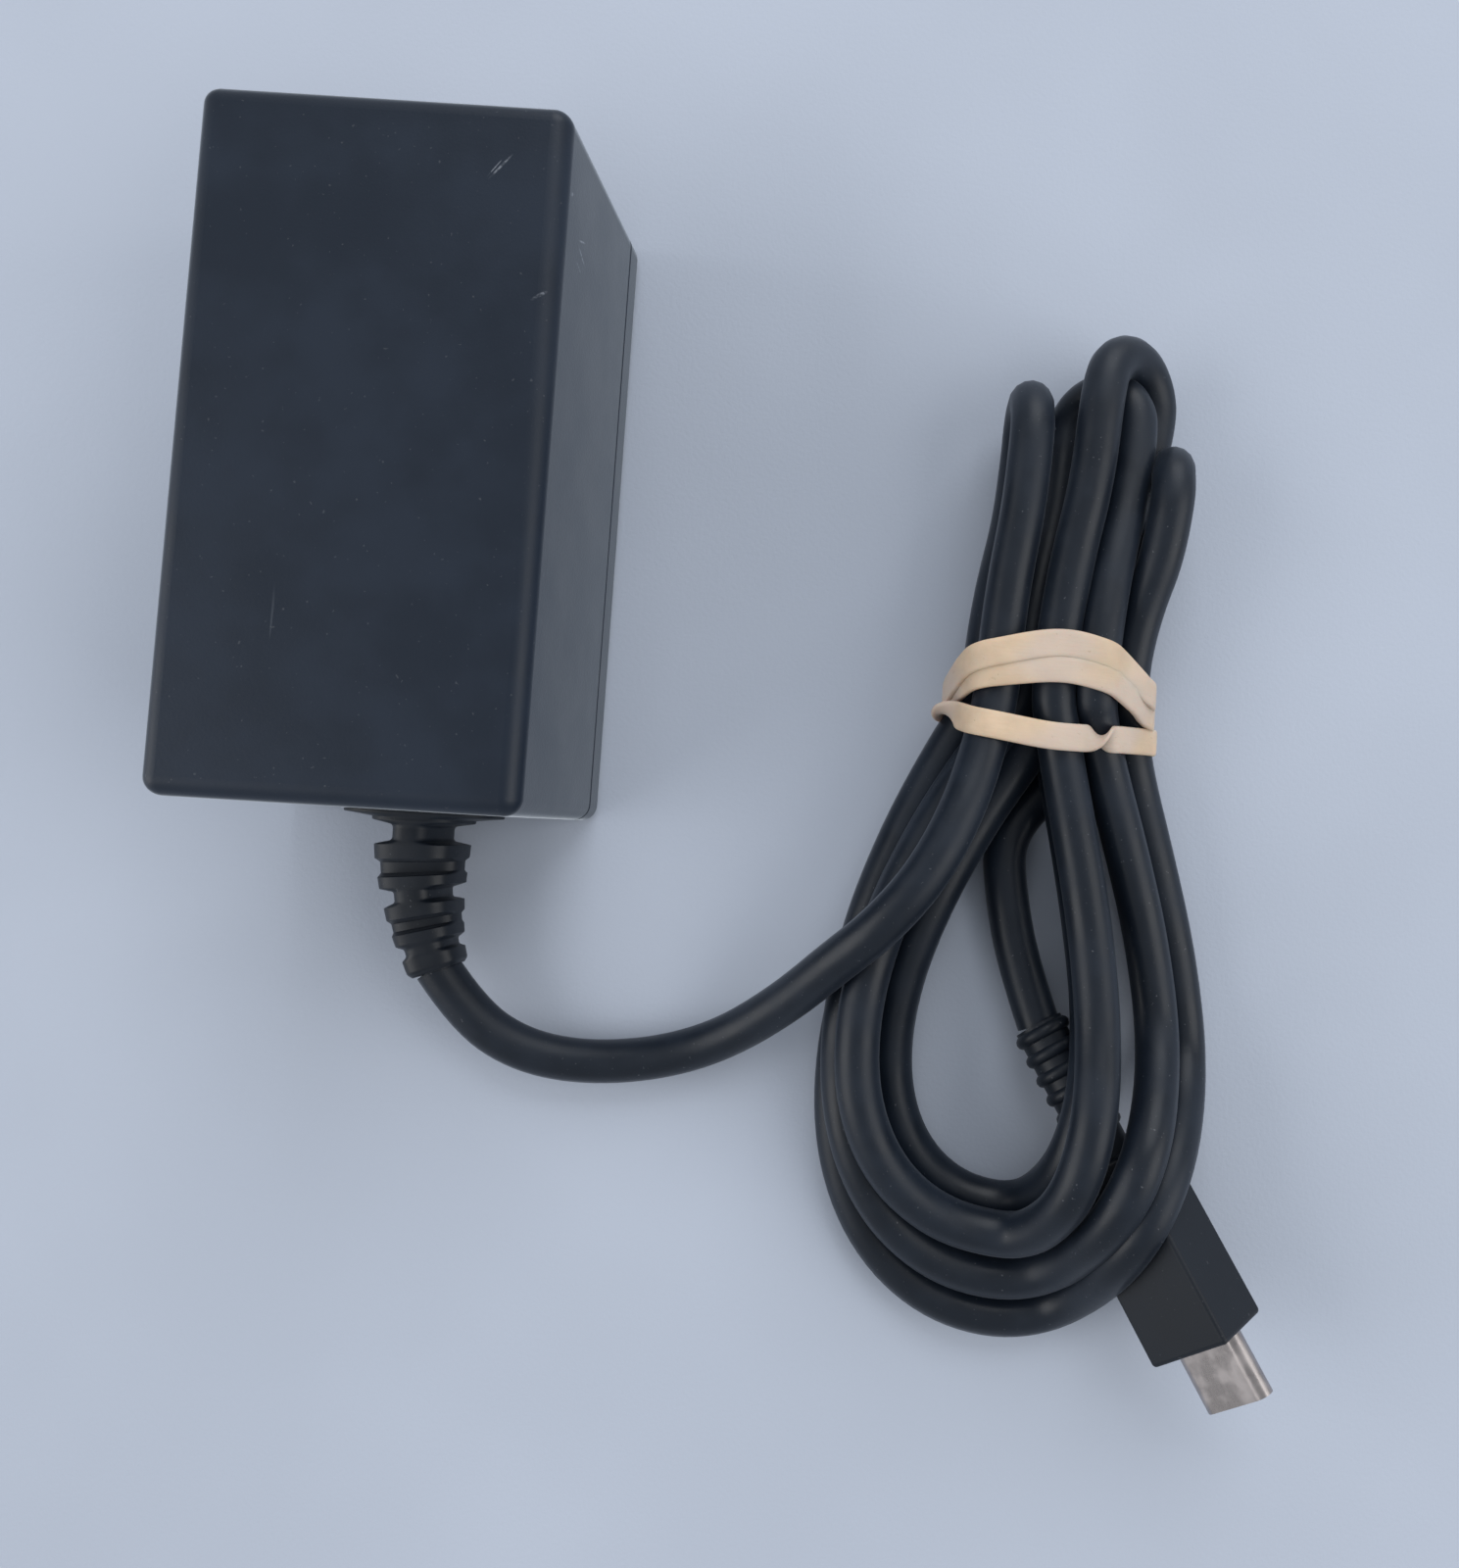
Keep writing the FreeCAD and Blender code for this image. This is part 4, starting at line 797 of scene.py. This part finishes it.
@dataclass
class RubberBand:
    """One flat closed loop of rubber wound three times round the waist of the hank."""

    route: Sequence[Vector]
    width: float = 2.9
    thickness: float = 0.75
    centre: tuple[float, float] = (68.2, 7.7)
    strand_radius: float = 2.42
    wraps: tuple[Wrap, ...] = (
        Wrap(-17.0, -11.9, -17.0, -14.6, 1.2),
        Wrap(-17.5, -14.6, -18.9, -17.6, 0.6),
        Wrap(-18.9, -21.7, -21.2, -20.7, 0.1),
    )
    twists: tuple[float, ...] = (2.02, 2.36)     # where the strip turns over, in wraps
    twist_span: float = 0.095
    edge_share: float = 0.5         # how far a turned strip rides out on its edge
    ground_gap: float = 0.06
    steps: int = 240
    corners: int = 16
    squareness: float = 5.0         # of the strip's section
    facings: int = 120              # directions in which the taut loop is measured
    least_slant: float = 0.05
    smoothing: float = 0.02         # wraps between the places that are averaged

    def sections(self, y: float) -> list[Spot]:
        """Where the cord crosses a plane across the bundle."""
        spots = []
        for start, end in zip(self.route, self.route[1:]):
            first, second = start / MM, end / MM
            if (first.y < y) != (second.y < y):
                share = (y - first.y) / (second.y - first.y)
                spots.append(Spot(between(first.x, second.x, share), between(first.z, second.z, share)))
        return spots

    def reach(self, spots: list[Spot], angle: float) -> float:
        """Distance from the centre, at an angle, to the outline of a taut loop round the strands."""
        best = math.inf
        for turn in range(self.facings):
            facing = 2 * math.pi * turn / self.facings
            slant = math.cos(facing - angle)
            if slant > self.least_slant:
                width = max((spot.x - self.centre[0]) * math.cos(facing)
                            + (spot.z - self.centre[1]) * math.sin(facing) for spot in spots)
                best = min(best, (width + self.strand_radius) / slant)
        return best

    def along(self, turns: float) -> float:
        """Where the strip is along the bundle, arching over its top and under its base."""
        turns %= len(self.wraps)
        lap = int(turns)
        here, after = self.wraps[lap], self.wraps[(lap + 1) % len(self.wraps)]
        quarter = (turns - lap) * 4
        stops = (here.left_y, here.top_y, here.right_y, here.base_y, after.left_y)
        part = (quarter - int(quarter)) * math.pi / 2
        share = 1 - math.cos(part) if int(quarter) % 2 else math.sin(part)
        return between(stops[int(quarter)], stops[int(quarter) + 1], share)

    def middle(self, turns: float) -> Vector:
        """Middle of the strip after a number of wraps, in millimetres."""
        lap = int(turns) % len(self.wraps)
        here, after = self.wraps[lap], self.wraps[(lap + 1) % len(self.wraps)]
        quarter = (turns - int(turns)) * 4
        y = sum(self.along(turns + self.smoothing * offset) for offset in range(-2, 3)) / 5
        lift = here.left_lift if quarter < 2 else after.left_lift
        angle = math.pi - quarter * math.pi / 2
        lift *= ((1 - math.cos(angle)) / 2) ** 2
        distance = self.reach(self.sections(y), angle) + self.thickness / 2 + lift
        height = max(self.centre[1] + distance * math.sin(angle), self.thickness / 2 + self.ground_gap)
        return Vector((self.centre[0] + distance * math.cos(angle), y, height))

    def roll(self, turns: float) -> float:
        """How far the strip has turned over, in radians."""
        return math.pi * sum(ease((turns - twist) / self.twist_span + 0.5) for twist in self.twists)

    def build(self, material: bpy.types.Material) -> bpy.types.Object:
        """Sweep the strip's rounded section round the waist."""
        count = self.steps * len(self.wraps)
        places = [self.middle(number / self.steps) for number in range(count)]
        outline = []
        for corner in range(self.corners):
            angle = 2 * math.pi * (corner + 0.5) / self.corners
            cos, sin = math.cos(angle), math.sin(angle)
            outline.append((math.copysign(abs(cos) ** (2 / self.squareness), cos) * self.width / 2,
                            math.copysign(abs(sin) ** (2 / self.squareness), sin) * self.thickness / 2))
        maker = bmesh.new()
        rings = []
        for number, place in enumerate(places):
            run = (places[(number + 1) % count] - places[number - 1]).normalized()
            out = Vector((-run.z, 0.0, run.x)).normalized()
            across = run.cross(out).normalized()
            roll = self.roll(number / self.steps)
            edge_lift = abs(math.sin(roll)) * (self.width - self.thickness) / 2 * self.edge_share
            rings.append([maker.verts.new((place + out * edge_lift
                                           + across * (u * math.cos(roll) - v * math.sin(roll))
                                           + out * (u * math.sin(roll) + v * math.cos(roll))) * MM)
                          for u, v in outline])
        for number in range(count):
            first, second = rings[number], rings[(number + 1) % count]
            for corner in range(self.corners):
                following = (corner + 1) % self.corners
                maker.faces.new((first[corner], first[following], second[following], second[corner]))
        bmesh.ops.recalc_face_normals(maker, faces=maker.faces)
        mesh = bpy.data.meshes.new("rubber_band")
        maker.to_mesh(mesh)
        maker.free()
        shade_by_angle(mesh, 60)
        return mesh_object("rubber_band_wound", mesh, material)


# ---- strain reliefs and plug ----------------------------------------------------------------------
@dataclass(frozen=True)
class Station:
    """Half width and half height of a moulding at a distance along its axis, in millimetres."""

    distance: float
    half_width: float
    half_height: float


@dataclass
class BrickRelief:
    """Slotted rubber strain relief on the brick's end, which bends over towards the hank."""

    root: Point = (0.0, -33.5, 6.0)
    bend_start: float = 1.0
    bend_power: float = 2.4
    length: float = 17.2
    lean: float = 2.8
    squareness: float = 3.0
    corners: int = 72
    step: float = 0.06
    blur: float = 0.15
    stations: tuple[Station, ...] = (
        Station(-3.5, 4.8, 3.6), Station(-2.06, 4.8, 3.6), Station(-2.0, 3.5, 3.2), Station(-0.06, 3.5, 3.2),
        Station(0.0, 8.2, 5.4), Station(0.6, 8.2, 5.4), Station(0.66, 5.0, 5.2), Station(1.3, 4.9, 5.2),
        Station(1.45, 2.8, 5.1), Station(1.8, 2.4, 5.0), Station(3.1, 2.4, 5.0), Station(3.4, 2.8, 5.0),
        Station(3.55, 4.6, 5.0), Station(5.3, 4.45, 4.9), Station(5.36, 4.4, 2.5), Station(6.8, 4.3, 2.5),
        Station(6.86, 4.25, 4.6), Station(8.3, 4.1, 4.4), Station(8.4, 2.7, 4.4), Station(8.65, 2.4, 4.4),
        Station(9.6, 2.4, 4.3), Station(9.85, 2.7, 4.3), Station(9.95, 3.8, 4.3), Station(11.5, 3.65, 4.2),
        Station(11.56, 3.6, 2.45), Station(12.7, 3.5, 2.45), Station(12.76, 3.45, 3.9),
        Station(14.1, 3.3, 3.6), Station(14.2, 2.7, 3.5), Station(14.45, 2.45, 3.4), Station(15.2, 2.45, 3.3),
        Station(15.4, 3.1, 3.2), Station(16.8, 3.0, 3.0), Station(17.2, 2.6, 2.6),
    )

    def middle(self, distance: float) -> Vector:
        """The axis at a distance out from the brick's end face, in millimetres."""
        share = max(distance - self.bend_start, 0.0) / (self.length - self.bend_start)
        return Vector(self.root) + Vector((self.lean * share ** self.bend_power, -distance, 0.0))

    def halves(self, distance: float) -> tuple[float, float]:
        """Half width and half height at a distance, between the stations either side of it."""
        for before, after in zip(self.stations, self.stations[1:]):
            if distance <= after.distance:
                share = max(distance - before.distance, 0.0) / (after.distance - before.distance)
                return (between(before.half_width, after.half_width, share),
                        between(before.half_height, after.half_height, share))
        return self.stations[-1].half_width, self.stations[-1].half_height

    def rounded(self, distance: float) -> tuple[float, float]:
        """The halves with their steps eased, as a mould's rounded edges leave them."""
        found = [self.halves(distance + self.blur * offset) for offset in (-1.0, -0.5, 0.0, 0.5, 1.0)]
        return sum(pair[0] for pair in found) / len(found), sum(pair[1] for pair in found) / len(found)

    def build(self, material: bpy.types.Material) -> bpy.types.Object:
        """Sweep the section along the bending axis."""
        first = self.stations[0].distance
        count = round((self.length - first) / self.step)
        power = 2 / self.squareness
        maker = bmesh.new()
        rings = []
        for number in range(count + 1):
            distance = between(first, self.length, number / count)
            width, height = self.rounded(distance)
            run = self.middle(distance + 0.05) - self.middle(distance - 0.05)
            across = run.cross(Vector((0.0, 0.0, 1.0))).normalized()
            ring = []
            for corner in range(self.corners):
                angle = 2 * math.pi * corner / self.corners
                cos, sin = math.cos(angle), math.sin(angle)
                place = (self.middle(distance) + across * math.copysign(abs(cos) ** power, cos) * width
                         + Vector((0.0, 0.0, math.copysign(abs(sin) ** power, sin) * height)))
                ring.append(maker.verts.new(place * MM))
            rings.append(ring)
        for ring, following in zip(rings, rings[1:]):
            for corner in range(self.corners):
                after = (corner + 1) % self.corners
                maker.faces.new((ring[corner], ring[after], following[after], following[corner]))
        maker.faces.new(rings[0])
        maker.faces.new(rings[-1])
        bmesh.ops.recalc_face_normals(maker, faces=maker.faces)
        mesh = bpy.data.meshes.new("brick_relief")
        maker.to_mesh(mesh)
        maker.free()
        shade_by_angle(mesh, 50)
        piece = mesh_object("brick_relief_moulded", mesh, material)
        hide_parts("brick_strain_relief")
        return piece


@dataclass
class PlugRelief:
    """Ribbed round strain relief behind the plug's grip."""

    pose: PlugPose = PlugPose()
    length: float = 16.0
    core_radius: float = 2.75
    rib_radius: float = 3.25
    rib_width: float = 1.5
    ribs: int = 6
    pitch: float = 2.3

    def rib_tree(self, material: bpy.types.Material) -> bpy.types.NodeTree:
        """Geometry Nodes that put rounded ribs in a row on a core."""
        tree = bpy.data.node_groups.new("ribbed_relief", "GeometryNodeTree")
        for name, kind in (("Ribs", "NodeSocketInt"), ("Pitch", "NodeSocketFloat"),
                           ("Rib Radius", "NodeSocketFloat"), ("Rib Section", "NodeSocketFloat"),
                           ("Core Radius", "NodeSocketFloat"), ("Length", "NodeSocketFloat")):
            tree.interface.new_socket(name, in_out="INPUT", socket_type=kind)
        tree.interface.new_socket("Geometry", in_out="OUTPUT", socket_type="NodeSocketGeometry")
        add, link = tree.nodes.new, tree.links.new
        given, result = add("NodeGroupInput"), add("NodeGroupOutput")

        pitch_vector = add("ShaderNodeCombineXYZ")
        link(given.outputs["Pitch"], pitch_vector.inputs["X"])
        row = add("GeometryNodeMeshLine")
        link(given.outputs["Ribs"], row.inputs["Count"])
        link(pitch_vector.outputs[0], row.inputs["Offset"])

        loop = add("GeometryNodeCurvePrimitiveCircle")
        loop.inputs["Resolution"].default_value = 40
        link(given.outputs["Rib Radius"], loop.inputs["Radius"])
        bead = add("GeometryNodeCurvePrimitiveCircle")
        bead.inputs["Resolution"].default_value = 12
        link(given.outputs["Rib Section"], bead.inputs["Radius"])
        rib = add("GeometryNodeCurveToMesh")
        link(loop.outputs["Curve"], rib.inputs["Curve"])
        link(bead.outputs["Curve"], rib.inputs["Profile Curve"])
        upright = add("GeometryNodeTransform")
        upright.inputs["Rotation"].default_value = (0.0, math.pi / 2, 0.0)
        link(rib.outputs["Mesh"], upright.inputs["Geometry"])
        copies = add("GeometryNodeInstanceOnPoints")
        link(row.outputs["Mesh"], copies.inputs["Points"])
        link(upright.outputs["Geometry"], copies.inputs["Instance"])
        shift = add("GeometryNodeTransform")
        shift.inputs["Translation"].default_value = (1.0 * MM, 0.0, 0.0)
        link(copies.outputs["Instances"], shift.inputs["Geometry"])

        reach = add("ShaderNodeCombineXYZ")
        link(given.outputs["Length"], reach.inputs["X"])
        axis = add("GeometryNodeCurvePrimitiveLine")
        link(reach.outputs[0], axis.inputs["End"])
        round_section = add("GeometryNodeCurvePrimitiveCircle")
        round_section.inputs["Resolution"].default_value = 40
        link(given.outputs["Core Radius"], round_section.inputs["Radius"])
        core = add("GeometryNodeCurveToMesh")
        core.inputs["Fill Caps"].default_value = True
        link(axis.outputs["Curve"], core.inputs["Curve"])
        link(round_section.outputs["Curve"], core.inputs["Profile Curve"])

        joined, real, painted = add("GeometryNodeJoinGeometry"), add("GeometryNodeRealizeInstances"), add(
            "GeometryNodeSetMaterial")
        painted.inputs["Material"].default_value = material
        link(shift.outputs["Geometry"], joined.inputs["Geometry"])
        link(core.outputs["Mesh"], joined.inputs["Geometry"])
        link(joined.outputs["Geometry"], real.inputs["Geometry"])
        link(real.outputs["Geometry"], painted.inputs["Geometry"])
        link(painted.outputs["Geometry"], result.inputs["Geometry"])
        return tree

    def build(self, material: bpy.types.Material) -> bpy.types.Object:
        """Make the relief and lay it where the plug lies."""
        helper = bpy.data.objects.new("relief_helper", bpy.data.meshes.new("relief_helper"))
        bpy.context.scene.collection.objects.link(helper)
        modifier = helper.modifiers.new("ribs", "NODES")
        modifier.node_group = self.rib_tree(material)
        sizes = {"Ribs": self.ribs, "Pitch": self.pitch * MM, "Rib Section": self.rib_width / 2 * MM,
                 "Rib Radius": (self.rib_radius - self.rib_width / 2) * MM,
                 "Core Radius": self.core_radius * MM, "Length": self.length * MM}
        for item in modifier.node_group.interface.items_tree:
            if item.item_type == "SOCKET" and item.in_out == "INPUT":
                modifier[item.identifier] = sizes[item.name]
        helper.matrix_world = self.pose.placement()
        bpy.context.view_layer.update()
        piece = baked(helper, "plug_relief_ribbed", material)
        shade_by_angle(piece.data, 50)
        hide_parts("plug_strain_relief")
        return piece


# ---- dressing the CAD nodes -----------------------------------------------------------------------
class Finishes:
    """Every finish of the adapter, made once and looked up by its slot."""

    casing_scuffs = (
        Scuff((11.4, 27.0, 31.0), (3.6, 0.3, 1.0), (0.0, 0.0, 50.0)),
        Scuff((10.9, 26.9, 31.0), (2.6, 0.16, 1.0), (0.0, 0.0, 53.0)),
        Scuff((15.9, 15.0, 31.0), (2.2, 0.4, 1.0), (0.0, 0.0, 35.0)),
        Scuff((17.5, 23.4, 23.9), (1.0, 0.3, 3.0), (18.0, 0.0, 0.0)),
        Scuff((17.5, 22.0, 23.6), (1.0, 0.35, 3.4), (-20.0, 0.0, 0.0)),
        Scuff((17.5, 20.6, 24.4), (1.0, 0.25, 2.2), (-14.0, 0.0, 0.0)),
        Scuff((17.5, 26.0, 28.4), (1.0, 0.5, 1.2), (30.0, 0.0, 0.0)),
    )

    def __init__(self) -> None:
        """Build all materials."""
        makers = (
            MouldedPlastic("casing", (0.0074, 0.0138, 0.0265), 0.46, scuffs=self.casing_scuffs, specular=0.3,
                           bloom=0.85),
            PlatedMetal("prong_metal", (0.76, 0.74, 0.70), 0.28, (2500.0, 180.0, 2500.0)),
            PlatedMetal("spring_metal", (0.78, 0.58, 0.32), 0.3),
            BoardLacquer("board", (0.03, 0.16, 0.06)),
            ClearFilm("film", (0.75, 0.76, 0.72)),
            ComponentFinish("black_component", (0.03, 0.03, 0.033), 0.5),
            ComponentFinish("fuse_body", (0.52, 0.46, 0.34), 0.25),
            ComponentFinish("yellow_component", (0.72, 0.50, 0.06), 0.32),
            ComponentFinish("green_component", (0.05, 0.14, 0.06), 0.3),
            ComponentFinish("blue_component", (0.04, 0.16, 0.50), 0.25),
            ComponentFinish("capacitor_sleeve", (0.03, 0.04, 0.08), 0.28),
            ComponentFinish("heatsink", (0.70, 0.71, 0.72), 0.35, 1.0, 1.0, 0.006 * MM,
                            (400.0, 400.0, 3000.0)),
            ComponentFinish("ferrite", (0.06, 0.06, 0.063), 0.55, 0.0, 0.2 * MM, 0.02 * MM),
            ComponentFinish("bobbin", (0.05, 0.05, 0.055), 0.5),
            ComponentFinish("winding", (0.70, 0.42, 0.08), 0.3, 0.0, 1.0, 0.06 * MM, (300.0, 2600.0, 300.0)),
            ComponentFinish("wire_insulation", (0.40, 0.02, 0.02), 0.4),
            CordJacket("cord_jacket", (0.0075, 0.0118, 0.0200), 0.42, 0.1),
            CordJacket("relief_rubber", (0.0070, 0.0105, 0.0170), 0.46, 0.05),
            BandRubber("band_rubber", (0.62, 0.47, 0.33), (0.54, 0.455, 0.41)),
            MouldedPlastic("overmold", (0.0060, 0.0090, 0.0145), 0.5, 0.2 * MM, 0.008 * MM, specular=0.3),
            PlatedMetal("plug_metal", (0.43, 0.395, 0.39), 0.24, (180.0, 2500.0, 2500.0), -58.5),
            ComponentFinish("contact_gold", (0.90, 0.62, 0.22), 0.25, 1.0, 0.3 * MM, 0.004 * MM),
        )
        self.by_slot = {maker.name: maker.build() for maker in makers}

    def __getitem__(self, slot: str) -> bpy.types.Material:
        """The material of a slot."""
        return self.by_slot[slot]


def dress_nodes(frame: dict, finishes: Finishes) -> None:
    """Give every CAD node the finish of its slot."""
    for part in frame["record"]["subparts"]:
        node = frame["nodes"][part["node"]]
        node.data.materials.clear()
        node.data.materials.append(finishes[part["material_slot"]])
        for face in node.data.polygons:
            face.material_index = 0


def main() -> None:
    """Build the adapter's looks around its frame."""
    logging.basicConfig(level=logging.INFO, format="%(name)s: %(message)s")
    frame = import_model()
    Studio().build()
    finishes = Finishes()

    line = Cord()
    cord = line.build(finishes["cord_jacket"])
    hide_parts("cord_lead", "cord_hank", "cord_tail")
    LOG.info("cord: %.3f m", line.length(cord))

    band = RubberBand(line.route()).build(finishes["band_rubber"])
    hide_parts("rubber_band")

    brick_relief = BrickRelief().build(finishes["relief_rubber"])
    plug_relief = PlugRelief().build(finishes["relief_rubber"])
    dress_nodes(frame, finishes)

    pieces = [band, brick_relief, plug_relief]
    for piece in (cord, *pieces):
        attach(piece, ADAPTER)
        LOG.info("%s rides on %s", piece.name, ADAPTER)
    start = line.lead_route[0]
    tuple(value * MM for value in start)
    round(line.length(cord), 3)


if __name__ == "__main__":
    main()
